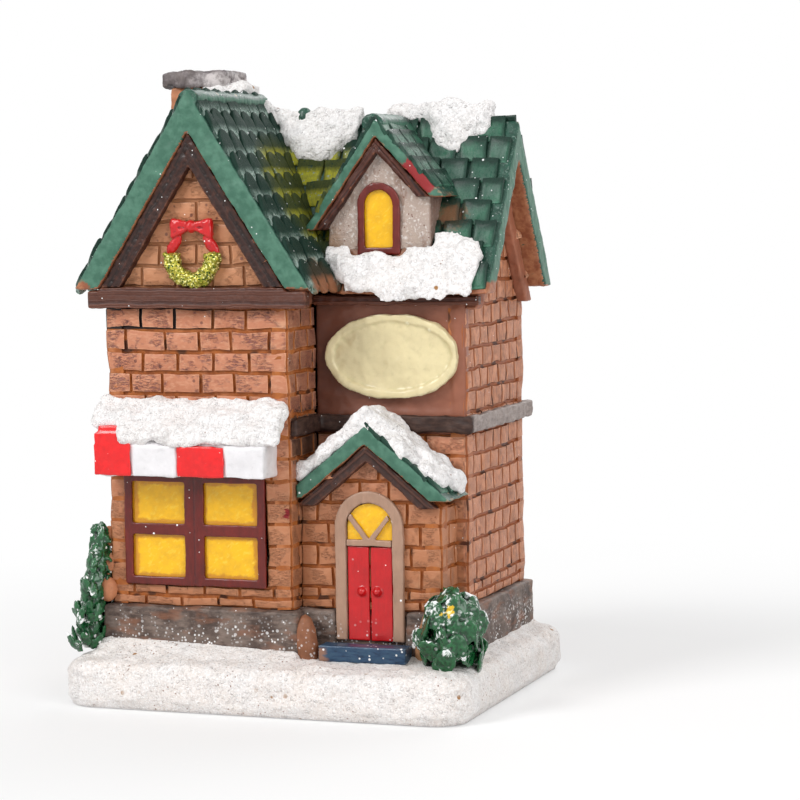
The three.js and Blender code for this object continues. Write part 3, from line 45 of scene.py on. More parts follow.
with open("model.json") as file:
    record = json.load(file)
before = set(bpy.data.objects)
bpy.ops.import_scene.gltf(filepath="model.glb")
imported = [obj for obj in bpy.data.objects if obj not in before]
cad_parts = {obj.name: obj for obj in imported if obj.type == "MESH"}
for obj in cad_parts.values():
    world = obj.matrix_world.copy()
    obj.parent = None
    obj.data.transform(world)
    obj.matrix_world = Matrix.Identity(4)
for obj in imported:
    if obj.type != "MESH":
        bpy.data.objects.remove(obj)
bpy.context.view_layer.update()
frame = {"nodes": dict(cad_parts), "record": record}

MM = 0.001

# Plan and heights of the house, in millimetres
LEFT = -29.07
RIGHT = 29.69
WING_FRONT = -20.25
WING_RIGHT = 3.41
MAIN_FRONT = -8.31
ENTRANCE_FRONT = -16.31
ENTRANCE_RIGHT = 27.87
BACK = 22.86
GROUND = 8.0
PLINTH_TOP = 15.95
EAVE = 67.1
SIDE_WALL_TOP = 69
STRING_BOTTOM = 44.45
STRING_TOP = 47.25

# Roof slopes
PITCH = math.radians(57)
SLOPE = math.tan(PITCH)
WING_RIDGE = Vector((-12.83, 0, 100.69))
MAIN_RIDGE = Vector((0, 7.275, 95.46))
ROOF_THICKNESS = 6.91
DORMER_X = 14.71
DORMER_LEFT_PITCH = math.radians(54.3)
DORMER_RIGHT_PITCH = math.radians(46.6)
PORCH_X = 15.64
PORCH_RIDGE = 46.23
PORCH_PITCH = math.radians(39.5)
VALLEY = -2.16
HIP = -8.95
REAR_HIP = -16.7
VERGE = 34.39
WING_RAKE = -22.35

# Small things
BRICK_SHELL = 2.4
BRICK_STRAY = 0.07
WREATH_SHIFT = 1.4
GOLDEN_ANGLE = 2.39996
SOFT_LUMPS = ((3.5, 0.35), (1.1, 0.15))

# How a tile lies in its row, in millimetres and degrees, and how far it strays
TILE_LIFT = 0.15
TILE_LIFT_STRAY = 0.08
TILE_SIDE_STRAY = 0.12
TILE_DOWN_STRAY = 0.15
TILE_TILT = 8
TILE_TILT_STRAY = 1.5
TILE_SPIN_STRAY = 4

# Camera, for a square picture of 800 pixels
CAMERA_PLACE = (165.475, -414.961, 84.408)
CAMERA_FORWARD = (-0.33945, 0.93721, -0.08001)
CAMERA_ROLL = -0.832
FOCAL_PIXELS = 2639.1
IMAGE_SIZE = 800
SENSOR_WIDTH = 36

# Each lamp's name, place, edge and power
LAMPS = (
    ("key_lamp", (-420, -620, 620), 380, 6.0),
    ("fill_lamp", (560, -420, 360), 520, 2.9),
    ("back_lamp", (120, 560, 480), 520, 2.4),
)


def mm(x, y, z):
    """A point given in millimetres."""
    return Vector((x, y, z)) * MM


def linear(code):
    """A colour written as six hexadecimal digits, as linear red, green and blue."""
    parts = [int(code[i : i + 2], 16) / 255 for i in (0, 2, 4)]
    return tuple(p / 12.92 if p <= 0.04045 else ((p + 0.055) / 1.055) ** 2.4 for p in parts)


def tint(colour, factor):
    """A lighter or darker colour."""
    parts = linear(colour) if isinstance(colour, str) else colour[:3]
    return tuple(min(1, part * factor) for part in parts)


def stray(draw, limit):
    """A random step to either side."""
    return draw.uniform(-limit, limit)


def length_property(name, description, value):
    """A length in millimetres that a user may change."""
    return FloatProperty(
        name=name, description=description, default=value * MM, unit="LENGTH", precision=5
    )


def colour_property(name, description, code):
    """A paint colour that a user may change."""
    return FloatVectorProperty(
        name=name, description=description, default=linear(code), subtype="COLOR", min=0, max=1
    )


class VillageHouseSizes(bpy.types.PropertyGroup):
    """Sizes of the details that stand on the solids."""

    brick_length: length_property("Brick length", "Length of one brick", 6.3)
    course_height: length_property("Course height", "Height of one course of bricks", 3.523)
    joint_width: length_property("Joint width", "Half the width of a carved joint", 0.3)
    joint_depth: length_property("Joint depth", "Depth of a carved joint", 0.42)
    tile_width: length_property("Tile width", "Width of one tongue tile", 4.1)
    tile_row: length_property("Tile row", "Distance between rows of tiles", 4.15)
    tile_thickness: length_property("Tile thickness", "Thickness of one tile", 0.75)
    casting_grain: length_property("Casting grain", "Edge of one cell of the castings", 0.3)
    snow_lumps: length_property("Snow lumps", "Height of the lumps in the snow", 1.1)


class VillageHouseColours(bpy.types.PropertyGroup):
    """Colours of the paints."""

    brick: colour_property("Brick", "Terracotta of the bricks", "BE7E60")
    joint: colour_property("Joint", "Orange brown of the carved joints", "A8622E")
    scribble: colour_property("Scribble", "Purple brown strokes on the bricks", "8A5450")
    panel: colour_property("Panel", "Brown of the smooth panel behind the sign", "6E3E2C")
    stone: colour_property("Stone", "Brown grey of the plinth", "6E6058")
    roof: colour_property("Roof", "Green of the rakes", "386250")
    roof_shade: colour_property("Roof shade", "Dark green between the tiles", "173A2E")
    roof_dust: colour_property("Roof dust", "Grey green brushed over the tiles", "9DB0A7")
    moss: colour_property("Moss", "Yellow green in the valley of the roof", "B5B02C")
    timber: colour_property("Timber", "Worn brown of the boards", "5E3424")
    snow: colour_property("Snow", "White of the snow", "E6E2E0")
    stucco: colour_property("Stucco", "Off-white of the dormer", "B3A298")
    window_frame: colour_property("Window frame", "Wine red of the window frames", "64170F")
    pane: colour_property("Pane", "Yellow of the window panes", "F0B80A")
    red: colour_property("Red", "Red of the doors and the bow", "C21016")
    awning_red: colour_property("Awning red", "Red of the awning", "E01216")
    taupe: colour_property("Taupe", "Grey brown of the door frame", "A6846F")
    blue: colour_property("Blue", "Dark blue of the doorstep", "1E3A58")
    cream: colour_property("Cream", "Cream of the blank sign", "DACCA0")
    leaf: colour_property("Leaf", "Green of the plants", "154A29")
    cap: colour_property("Cap", "Grey of the chimney cap", "766C6A")


def sizes():
    """The sizes that the sidebar shows."""
    return bpy.context.scene.village_house_sizes


def colours():
    """The colours that the sidebar shows."""
    return bpy.context.scene.village_house_colours


# Selecting, joining and shaping


def activate(piece=None):
    """Leaves only this piece, or nothing, selected."""
    if bpy.context.object and bpy.context.object.mode != "OBJECT":
        bpy.ops.object.mode_set(mode="OBJECT")
    bpy.ops.object.select_all(action="DESELECT")
    if piece:
        piece.select_set(True)
        bpy.context.view_layer.objects.active = piece


def edit(piece, mode="FACE"):
    """Starts edit mode on one piece, with all of it selected."""
    activate(piece)
    bpy.ops.object.mode_set(mode="EDIT")
    bpy.ops.mesh.select_mode(type=mode)
    bpy.ops.mesh.select_all(action="SELECT")


def leave():
    """Ends edit mode."""
    bpy.ops.object.mode_set(mode="OBJECT")


def pick_faces(piece, test):
    """Selects the faces that pass a test, in edit mode."""
    mesh = bmesh.from_edit_mesh(piece.data)
    for face in mesh.faces:
        face.select_set(False)
    chosen = [face for face in mesh.faces if test(face)]
    if not chosen:
        raise RuntimeError(f"{piece.name} has no face to pick")
    for face in chosen:
        face.select_set(True)
    bmesh.update_edit_mesh(piece.data)


def cut(place, normal, **settings):
    """Cuts what is selected along a plane through a place in millimetres."""
    bpy.ops.mesh.bisect(plane_co=mm(*place), plane_no=normal, **settings)


def modify(piece, kind, **settings):
    """Adds one modifier and applies it."""
    activate(piece)
    modifier = piece.modifiers.new(kind.title(), kind)
    for name, value in settings.items():
        setattr(modifier, name, value)
    bpy.ops.object.modifier_apply(modifier=modifier.name)


def join(pieces, name=None):
    """Joins pieces into the first one."""
    activate(pieces[0])
    for piece in pieces:
        piece.select_set(True)
    if len(pieces) > 1:
        bpy.ops.object.join()
    if name:
        pieces[0].name = name
    return pieces[0]


def settle(piece):
    """Puts a piece's place into its mesh."""
    activate(piece)
    bpy.ops.object.transform_apply(location=True, rotation=True, scale=True)
    return piece


def narrow(piece, place, share):
    """Narrows a piece towards a place along X."""
    piece.scale.x = share
    piece.location.x = place * (1 - share)
    settle(piece)


def copy_of(name, node):
    """A loose copy of a solid with its corners merged."""
    piece = bpy.data.objects.new(name, frame["nodes"][node].data.copy())
    bpy.context.scene.collection.objects.link(piece)
    piece.data.materials.clear()
    edit(piece, "VERT")
    bpy.ops.mesh.remove_doubles(threshold=1e-6)
    leave()
    return piece


def place_copy(piece, matrix):
    """A copy with its own mesh, put where a matrix says."""
    copy = piece.copy()
    copy.data = piece.data.copy()
    bpy.context.scene.collection.objects.link(copy)
    copy.matrix_world = matrix
    return copy


def primitive(add, name, centre, scale, turn, **settings):
    """Adds a primitive at its place and scale, both in millimetres."""
    activate()
    add(location=mm(*centre), rotation=turn, **settings)
    piece = bpy.context.object
    piece.name = name
    piece.scale = [length * MM for length in scale]
    return settle(piece)


def block(name, low, high, turn=(0, 0, 0)):
    """A box between two corners, turned about its middle."""
    middle = [(a + b) / 2 for a, b in zip(low, high)]
    scale = [abs(b - a) for a, b in zip(low, high)]
    return primitive(bpy.ops.mesh.primitive_cube_add, name, middle, scale, turn, size=1)


def ball(name, centre, radii, turn=(0, 0, 0), rings=6):
    """A rounded lump."""
    add = bpy.ops.mesh.primitive_uv_sphere_add
    return primitive(add, name, centre, radii, turn, segments=8, ring_count=rings, radius=1)


def rod(name, centre, radii, height, turn=(0, 0, 0), sides=12):
    """A round or oval post."""
    add = bpy.ops.mesh.primitive_cylinder_add
    return primitive(add, name, centre, (*radii, height), turn, vertices=sides, radius=1, depth=1)


def wedge(name, corners):
    """A six-sided lump whose eight corners are dragged to their places in millimetres."""
    piece = block(name, (-1, -1, -1), (1, 1, 1))
    for vertex in piece.data.vertices:
        key = tuple(0 if value < 0 else 1 for value in vertex.co)
        vertex.co = mm(*corners[key])
    return piece


def unevenness(size, coloured=False):
    """A cloudy texture that moves surfaces, with lumps of a size in millimetres."""
    name = f"unevenness_{size}_{coloured}"
    texture = bpy.data.textures.get(name) or bpy.data.textures.new(name, "CLOUDS")
    texture.noise_scale = size * MM
    texture.noise_depth = 2
    texture.cloud_type = "COLOR" if coloured else "GRAYSCALE"
    return texture


def roughen(piece, size, height, sideways=False, group=""):
    """Moves the surface in and out, or every way, by uneven amounts."""
    modify(
        piece,
        "DISPLACE",
        texture=unevenness(size, sideways),
        texture_coords="LOCAL",
        strength=height * MM,
        mid_level=0.5,
        direction="RGB_TO_XYZ" if sideways else "NORMAL",
        vertex_group=group,
    )


def swell(piece, height):
    """Moves the surface out, or in where the height is below 0."""
    modify(piece, "DISPLACE", strength=height * MM, mid_level=0)


def remesh(piece, cell, smooth, **settings):
    """Rebuilds a piece's skin from cells and smooths it."""
    modify(piece, "REMESH", mode="VOXEL", voxel_size=cell, **settings)
    modify(piece, "SMOOTH", factor=0.5, iterations=smooth)


def cast(piece, grain=1.0, smooth=3, lumps=SOFT_LUMPS):
    """Gives a crisp shape the soft edges and uneven skin of cast and painted resin."""
    cell = sizes().casting_grain * grain
    remesh(piece, cell, smooth, adaptivity=0, use_smooth_shade=True)
    for size, height in lumps:
        roughen(piece, size, height)
    activate(piece)
    bpy.ops.object.shade_smooth()


def carve(piece, cutter):
    """Takes one piece's room out of another."""
    modify(piece, "BOOLEAN", operation="DIFFERENCE", solver="EXACT", object=cutter)
    bpy.data.objects.remove(cutter)
    return piece


def shade_by_angle(piece, degrees):
    """Shades a piece smoothly except at edges sharper than an angle."""
    activate(piece)
    bpy.ops.object.shade_smooth_by_angle(angle=math.radians(degrees))


def ride(piece, slot, *nodes):
    """Lets a painted piece ride on the house and stand for its solids."""
    settle(piece)
    piece.data.name = piece.name
    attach(piece, "house")
    if nodes:
        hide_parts(*nodes)


def finish(piece, material, slot, *nodes):
    """Paints a piece and puts it in its place on the house."""
    piece.data.materials.clear()
    piece.data.materials.append(material)
    ride(piece, slot, *nodes)


def dress(name, node, material, slot, grain=1.0, smooth=3, lumps=SOFT_LUMPS):
    """Casts, paints and places a copy of one solid."""
    piece = copy_of(name, node)
    cast(piece, grain, smooth, lumps)
    finish(piece, material, slot, node)


def mould(name, parts, material, grain=0.9):
    """Joins parts into one brown casting that stands for no solid."""
    piece = join(parts, name)
    cast(piece, grain)
    finish(piece, material, "brick_resin")


# Shader maths


class Value:
    """A shader value that takes part in Python arithmetic."""

    def __init__(self, nodes, socket):
        self.nodes = nodes
        self.socket = socket

    def math(self, operation, *values):
        """One Math node on the given values."""
        return self.nodes.value(
            "ShaderNodeMath", {"operation": operation}, dict(enumerate(values))
        )

    def __add__(self, other):
        return self.math("ADD", self, other)

    def __radd__(self, other):
        return self.math("ADD", other, self)

    def __sub__(self, other):
        return self.math("SUBTRACT", self, other)

    def __rsub__(self, other):
        return self.math("SUBTRACT", other, self)

    def __mul__(self, other):
        return self.math("MULTIPLY", self, other)

    def __rmul__(self, other):
        return self.math("MULTIPLY", other, self)

    def __abs__(self):
        return self.math("ABSOLUTE", self)

    def larger(self, other):
        """The larger of two values."""
        return self.math("MAXIMUM", self, other)

    def rise(self, low, high):
        """Goes from 0 at low to 1 at high, and stays there."""
        return self.nodes.value(
            "ShaderNodeMapRange", {"clamp": True}, {0: self, 1: low, 2: high, 3: 0, 4: 1}
        )

    def fall(self, low, high):
        """Goes from 1 at low to 0 at high, and stays there."""
        return 1 - self.rise(low, high)

    def between(self, low, high, soft):
        """1 from low to high, falling to 0 over a soft edge."""
        return self.rise(low - soft, low) * self.fall(high, high + soft)


class Nodes:
    """A node tree under construction."""

    def __init__(self, owner):
        owner.use_nodes = True
        self.tree = owner.node_tree
        self.tree.nodes.clear()

    def add(self, kind, settings=None, inputs=None):
        """One node with its settings, and the values or links of its sockets."""
        node = self.tree.nodes.new(kind)
        for name, value in (settings or {}).items():
            setattr(node, name, value)
        for key, value in (inputs or {}).items():
            self.feed(node.inputs[key], value)
        return node

    def feed(self, socket, value):
        """Links or writes a value to a socket; six hexadecimal digits are a colour."""
        if isinstance(value, Value):
            value = value.socket
        elif isinstance(value, str):
            value = linear(value)
        if isinstance(value, bpy.types.NodeSocket):
            self.tree.links.new(value, socket)
        elif hasattr(value, "__len__") and len(socket.default_value) == 4:
            socket.default_value = (*value[:3], 1)
        else:
            socket.default_value = value

    def value(self, kind, settings=None, inputs=None, output=0):
        """One output of a new node."""
        return Value(self, self.add(kind, settings, inputs).outputs[output])

    def seen_straight(self):
        """1 for what the camera sees, also in a mirror or through glass."""
        path = self.add("ShaderNodeLightPath")
        seen = Value(self, path.outputs["Is Camera Ray"])
        for name in ("Is Glossy Ray", "Is Transmission Ray"):
            seen = seen.larger(Value(self, path.outputs[name]))
        return seen


class Paint(Nodes):
    """A material under construction, whose patterns are measured in millimetres."""

    def __init__(self, name, ground):
        self.material = bpy.data.materials.new(name)
        super().__init__(self.material)
        self.shade = ground
        self.surface = self.add("ShaderNodeBsdfPrincipled", None, {"Specular IOR Level": 0.3})
        self.output = self.add("ShaderNodeOutputMaterial", None, {0: self.surface.outputs[0]})
        place = self.add("ShaderNodeTexCoord").outputs["Object"]
        self.ruler = self.vector("MULTIPLY", place, (1 / MM, 1 / MM, 1 / MM))
        self.x, self.y, self.z = self.parts(self.ruler)

    def vector(self, operation, first, second, output=0):
        """One Vector Math node."""
        settings = {"operation": operation}
        return self.value("ShaderNodeVectorMath", settings, {0: first, 1: second}, output)

    def parts(self, vector):
        """The three parts of a vector."""
        split = self.add("ShaderNodeSeparateXYZ", None, {0: vector})
        return [Value(self, output) for output in split.outputs]

    def blend(self, mask, under, over):
        """The under colour where the mask is 0 and the over colour where it is 1."""
        settings = {"data_type": "RGBA", "clamp_factor": True}
        return self.value("ShaderNodeMix", settings, {0: mask, 6: under, 7: over}, 2)

    def over(self, mask, colour):
        """Lays a colour over the shade where the mask is 1."""
        self.shade = self.blend(mask, self.shade, colour)

    def noise(self, size, detail=3, stretch=None, roughness=0.5, turn=None):
        """Cloudy noise with features of a size in millimetres, turned and then stretched."""
        place = self.ruler
        if turn:
            place = self.value("ShaderNodeMapping", None, {0: place, 2: turn})
        if stretch:
            place = self.vector("MULTIPLY", place, stretch)
        inputs = {"Vector": place, "Scale": 1 / size, "Detail": detail, "Roughness": roughness}
        return self.value("ShaderNodeTexNoise", None, inputs)

    def cells(self, scale):
        """How far a place is from the middle of its cell, and a chance for each cell."""
        cells = self.add("ShaderNodeTexVoronoi", None, {"Vector": self.ruler, "Scale": scale})
        chance = self.value("ShaderNodeSeparateColor", None, {0: cells.outputs["Color"]})
        return Value(self, cells.outputs["Distance"]), chance

    def dots(self, size, radius, share):
        """Small dots, one in each cell of a size, in a share of the cells."""
        away, chance = self.cells(1 / size)
        return away.fall(radius, radius * 1.4) * chance.fall(share, share + 0.01)

    def glitter(self, share):
        """Lays stray grains of snow glitter over the shade."""
        grains = self.dots(0.8, 0.1, share * 1.5) + self.dots(2.1, 0.07, share * 2)
        self.over(grains, (0.92, 0.93, 0.93))

    def bend(self):
        """How far the surface stands out at edges, above 0, or is hollow, below 0."""
        return Value(self, self.add("ShaderNodeNewGeometry").outputs["Pointiness"]) - 0.5

    def hollows(self):
        """1 in the hollows of the surface."""
        return (-0.01 - self.bend()).rise(0, 0.04)

    def worn(self, noise):
        """1 on edges where the paint has rubbed off unevenly."""
        return (self.bend() + noise * 0.05).rise(0.06, 0.12)

    def turned(self, direction, limit):
        """1 on faces turned to a direction."""
        normal = self.add("ShaderNodeNewGeometry").outputs["True Normal"]
        return self.vector("DOT_PRODUCT", normal, direction, 1).rise(limit, limit + 0.05)

    def spot(self, centre, low, high, noise):
        """1 near a place in millimetres, fading to 0 over an uneven edge."""
        return (self.vector("DISTANCE", self.ruler, centre, 1) + noise * 4).fall(low, high)

    def set(self, **values):
        """Sets or links the shader's sockets; underscores stand for spaces."""
        for name, value in values.items():
            self.feed(self.surface.inputs[name.replace("_", " ")], value)

    def done(self, relief, depth, **values):
        """Sets the shade, the relief with its depth in millimetres, and other sockets."""
        inputs = {"Strength": 1, "Distance": depth * MM, "Height": relief}
        bump = self.value("ShaderNodeBump", None, inputs)
        self.set(Base_Color=self.shade, Normal=bump, **values)
        return self.material


def cached(make):
    """Makes a material once and hands out the same one after that."""
    made = {}

    def get():
        if "material" not in made:
            made["material"] = make()
        return made["material"]

    return get


# Paints


def resin(
    name,
    colour,
    dark=0.6,
    light=1.25,
    groove=None,
    edge=None,
    roughness=0.5,
    coat=0.0,
    stroke=None,
    sparkle=0.03,
    relief=0.06,
):
    """Painted resin: brushed tone, darker hollows, worn edges and stray snow glitter."""
    paint = Paint(name, colour)
    fine = paint.noise(1.2, 5, stroke, 0.65)
    foot = paint.z.fall(9, 15) * paint.noise(3.5, 2).rise(0.4, 0.6)
    paint.over(paint.noise(5, 2).rise(0.35, 0.7) * 0.6, tint(colour, dark))
    paint.over(fine.rise(0.5, 0.75) * 0.55, tint(colour, light))
    paint.over(fine.fall(0.25, 0.45) * 0.5, tint(colour, dark * 0.8))
    if groove:
        paint.over(paint.hollows() * 0.85, groove)
    if edge:
        paint.over(paint.worn(fine) * 0.75, edge)
    paint.glitter(sparkle)
    paint.over(foot * paint.dots(0.75, 0.22, 0.55), (0.9, 0.9, 0.9))
    paint.set(Roughness=roughness + fine * 0.12, Coat_Weight=coat)
    if coat:
        paint.set(Coat_Roughness=0.18)
    return paint.done(fine + paint.noise(0.35, 2) * 0.5, relief)


@cached
def brick_paint():
    """Terracotta bricks with purple-brown scribbles in the middle of their faces."""
    c = colours()
    paint = Paint("brick_resin", c.brick)
    fine = paint.noise(0.9, 5, (1, 1, 2.2))
    side = paint.x.rise(RIGHT - 0.9, RIGHT - 0.6)
    front_wash = paint.y.between(WING_FRONT + 0.8, MAIN_FRONT - 0.4, 0.3)
    inner = paint.x.between(WING_RIGHT - 0.6, WING_RIGHT + 0.4, 0.2) * front_wash
    rows = paint.noise(0.42, 4, (0.5, 1, 3.0), 0.75).rise(0.5, 0.58)
    marks = rows * paint.noise(2.4, 2).rise(0.45, 0.56)
    scratches = paint.noise(0.45, 4, (2.4, 2.4, 0.3), 0.7).rise(0.52, 0.6)
    upper = paint.z.rise(STRING_BOTTOM, STRING_TOP)
    gable = paint.z.rise(68, 69) * (1 - side)
    scribble = marks * (1 - side) * (upper * 0.75 + 0.2) * (1 - gable) + scratches * side * 0.6
    smear = (paint.z + fine * 4).between(42.5, 50, 0.8) * inner
    specks = paint.dots(1.5, 0.16, 0.25) * (1 - side * 0.4)
    paint.over(paint.noise(7, 3).rise(0.3, 0.7), "AE6E50")
    paint.over(fine.rise(0.5, 0.75) * 0.6, "CE987A")
    paint.over(gable * 0.7, "B88058")
    paint.over(side * 0.6, "D8926C")
    paint.over(scribble, c.scribble)
    paint.over(inner * 0.6, "7A4A3C")
    paint.over(smear * 0.9, "2E1D18")
    paint.over((paint.bend() + fine * 0.04).rise(0.03, 0.1) * 0.5, "D9A684")
    paint.over(specks * 0.7, "5A3230")
    # Painted shade on the lower walls under the awning and the porch roof, fading out towards the
    # string course.
    paint.over(paint.z.fall(30, STRING_BOTTOM) * (1 - side) * 0.62, "A66E48")
    paint.over(paint.spot((WING_RIGHT - 0.7, WING_FRONT, 31.6), 2.5, 2.9, fine), "86141C")
    paint.glitter(0.02)
    paint.set(Roughness=0.45 + fine * 0.15, Coat_Weight=0.15, Coat_Roughness=0.3)
    return paint.done(fine + scratches * side * 1.4 - marks * 0.8, 0.09)


@cached
def joint_paint():
    """Orange-brown joints, with black slots in the top course of the wing."""
    paint = Paint("joint_resin", "8A4A22")
    fine = paint.noise(1.3, 4)
    slot = paint.z.between(61.9, 65.4, 0.15) * paint.y.fall(-19, -18.5)
    paint.over(fine.rise(0.35, 0.65), colours().joint)
    paint.over(paint.noise(2.5, 2).rise(0.55, 0.7) * 0.6, "B87850")
    paint.over(paint.x.rise(RIGHT - 2, RIGHT - 1) * 0.55, "9A5A3C")
    paint.over(slot * paint.x.fall(-14, -6), "1A0F0D")
    paint.over(paint.dots(3.2, 0.3, 0.3) * 0.8, "2A1512")
    paint.over(paint.z.rise(68, 69) * paint.y.fall(-19, -18), "A4704C")
    return paint.done(fine, 0.08, Roughness=0.5)


def panel_paint():
    """Smooth brown wash behind the sign, with painted shade darkening it towards the inner corner.
    """
    paint = Paint("panel_resin", "845240")
    fine = paint.noise(1.6, 4, (0.6, 1, 1))
    # Painted shade, darkest in the inner corner beside the wing.
    paint.over(paint.x.fall(WING_RIGHT, WING_RIGHT + 9) * 0.8, "43271F")
    paint.over(fine.rise(0.45, 0.7) * 0.5, colours().panel)
    paint.over(paint.x.rise(23, 29) * 0.6, "965C44")
    paint.glitter(0.03)
    return paint.done(fine, 0.08, Roughness=0.42 + fine * 0.1, Coat_Weight=0.15)


def bare_spots(paint, noise):
    """1 where the roof is bare: right of the wing's eave, and below and beside the dormer."""
    bare = paint.spot((8.5, -15.5, 68.5), 6.5, 8, noise)
    bare = bare + paint.spot((14.7, -8.4, 73.2), 7.6, 8.2, noise)
    return bare + paint.spot((26, -5, 80.5), 4.2, 5.4, noise) * 0.8


@cached
def tile_paint():
    """Green tiles with painted shade towards the row above and in the gaps at their sides, a
    painted highlight on their lower lips, brushed with dust and with moss in the valley.
    """
    c = colours()
    paint = Paint("tile_resin", "1C4A39")
    fine = paint.noise(0.8, 5, None, 0.65)
    brushed = paint.noise(0.75, 4, (1.8, 1.8, 0.45), 0.8)
    place = paint.add("ShaderNodeAttribute", {"attribute_name": "tile_place"})
    across, down, _ = paint.parts(place.outputs["Vector"])
    wing = paint.x.fall(8, 9)
    dusty = (wing * 0.9).larger(paint.spot((19, -4, 88), 5, 9, fine) * 0.7)
    lower = 1 - (down + fine * 0.3 - 0.15).rise(0.45, 0.8) * wing
    dust = brushed.rise(0.42, 0.5) * (lower * 0.85 + 0.15)
    mossy = paint.spot((-1.0, -2, 83), 11.5, 15, fine)
    moss = paint.blend(brushed.rise(0.4, 0.6), c.moss, "8C8C28")
    # Masks for painted shade: in the gaps at the sides of each tile, and on the part of each tile
    # under the row above.
    sides = abs(across + fine * 0.1 - 0.05).rise(0.7, 0.92)
    under = (down + fine * 0.3 - 0.36 + wing * 0.12).rise(0.42, 0.72)
    paint.over(paint.noise(4, 2).rise(0.4, 0.65), "30664E")
    paint.over(wing * 0.7, "12362A")
    paint.over(dust * (dusty * 0.95 + 0.08), c.roof_dust)
    paint.over(paint.dots(0.5, 0.18, 0.45) * lower * wing * 0.85, "D6DEDA")
    # Painted highlight along the lower lip of each tile.
    paint.over((down + fine * 0.1).fall(0.08, 0.16) * 0.5, "5C8C76")
    paint.over(mossy * fine.rise(0.36, 0.42) * 0.95, moss)
    paint.over(bare_spots(paint, fine), "8E5E42")
    # Painted shade in the gaps and under the row above.
    paint.over((sides * 0.7).larger(under * 0.88), "0C261E")
    paint.glitter(0.12)
    paint.set(Roughness=0.3 + brushed * 0.3 + wing * 0.2, Specular_IOR_Level=0.15)
    paint.set(Coat_Weight=(1 - wing) * 0.15, Coat_Roughness=0.2)
    return paint.done(brushed * 1.5 + fine * 0.6, 0.13)


@cached
def roof_paint():
    """Dark green between the tiles, plain green rakes, and bare brown eaves and undersides."""
    c = colours()
    paint = Paint("roof_resin", c.roof_shade)
    fine = paint.noise(1.4, 5, None, 0.65)
    streaks = paint.noise(0.7, 4, (0.5, 1, 0.5))
    plain = paint.blend(streaks.rise(0.4, 0.7) * 0.7, c.roof, "55806C")
    rake = paint.y.fall(-22.35, -22.1) + paint.turned((1, 0, 0), 0.93)
    rake = rake + paint.y.between(-9.7, -9.0, 0.1) * paint.x.rise(1, 1.5) * paint.z.rise(70, 72)
    rake = rake + paint.y.fall(-18.5, -18.3) * paint.z.fall(48, 52)
    brown = paint.blend(fine.rise(0.4, 0.6), "8A5036", "A8704E")
    low = (paint.z + fine * 2).fall(69.8, 70.4)
    eave = low * paint.y.rise(-12.5, -12) * paint.y.fall(0, 1) * paint.z.rise(60, 61)
    below = paint.turned((0, 0, -1), 0.35) * paint.z.fall(95.5, 96)
    bare = bare_spots(paint, fine) + eave + paint.spot((-33.5, -22, 67.5), 4.4, 5, fine)
    paint.over(fine.rise(0.4, 0.6), "1E4A3B")
    paint.over(paint.noise(0.4, 4, None, 0.8).rise(0.56, 0.66) * 0.5, c.roof_dust)
    paint.over(rake, plain)
    paint.over((paint.bend() + fine * 0.04).rise(0.08, 0.12) * 0.8, "8C7A60")
    paint.over(paint.spot((22.4, -9.3, 86.6), 5.2, 5.7, fine), "8A2426")
    paint.over(below + bare, brown)
    paint.glitter(0.06)
    return paint.done(streaks + fine * 0.6, 0.12, Roughness=0.4 + fine * 0.15, Coat_Weight=0.15)


def snow_paint(name, speck, warm):
    """Grainy white snow with glitter, brown specks, and painted highlight and shade on its grains.
    """
    paint = Paint(name, colours().snow)
    fine = paint.noise(0.3, 3)
    patches = paint.noise(7, 2).rise(0.45, 0.6)
    brown = paint.dots(0.8, 0.15, speck) * (patches + 0.1)
    blots = paint.dots(2.6, 0.12, speck * 0.5) * (patches + 0.3)
    grains = paint.dots(0.5, 0.3, 0.8) * 0.8 + paint.dots(0.9, 0.25, 0.5)
    paint.over(paint.noise(5, 3).rise(0.35, 0.7) * 0.8, warm)
    # Painted highlight and painted shade on the grains: pale flecks, then grey flecks.
    paint.over(fine.rise(0.5, 0.64) * 0.6, (0.94, 0.94, 0.94))
    paint.over(fine.fall(0.3, 0.46) * 0.3, "CFC6C2")
    paint.over(brown * 0.8, "8A6450")
    paint.over(blots * 0.85, "A07444")
    paint.set(Roughness=0.75 - paint.dots(0.7, 0.2, 0.3) * 0.5)
    return paint.done(fine + paint.noise(0.2, 2) * 0.6 + grains, 0.12)


@cached
def roof_snow_paint():
    """Bright snow on the roofs."""
    return snow_paint("roof_snow_resin", 0.05, "E6E4E4")


def ground_snow_paint():
    """Snow on the base, warmer and with more specks."""
    return snow_paint("base_snow_resin", 0.6, "E4DAD3")


def stucco_paint():
    """Grainy off-white dormer wall with brown specks."""
    paint = Paint("stucco_resin", colours().stucco)
    fine = paint.noise(0.5, 4)
    smears = paint.noise(1.6, 3, (1, 1, 0.4)).rise(0.56, 0.64)
    paint.over(paint.noise(4, 3).rise(0.35, 0.65) * 0.6, "B8A496")
    paint.over(fine.rise(0.55, 0.7) * 0.6, (0.86, 0.84, 0.82))
    paint.over(paint.dots(0.7, 0.17, 0.3) * 0.75, "6E4434")
    paint.over(smears * 0.45, "7E5844")
    paint.over(paint.x.rise(23.2, 23.6) * 0.75, "7A5C4E")
    paint.over(paint.z.fall(76, 80) * paint.x.fall(7, 9) * 0.6, "9A7450")
    return paint.done(fine + paint.noise(0.22, 2), 0.2, Roughness=0.8)


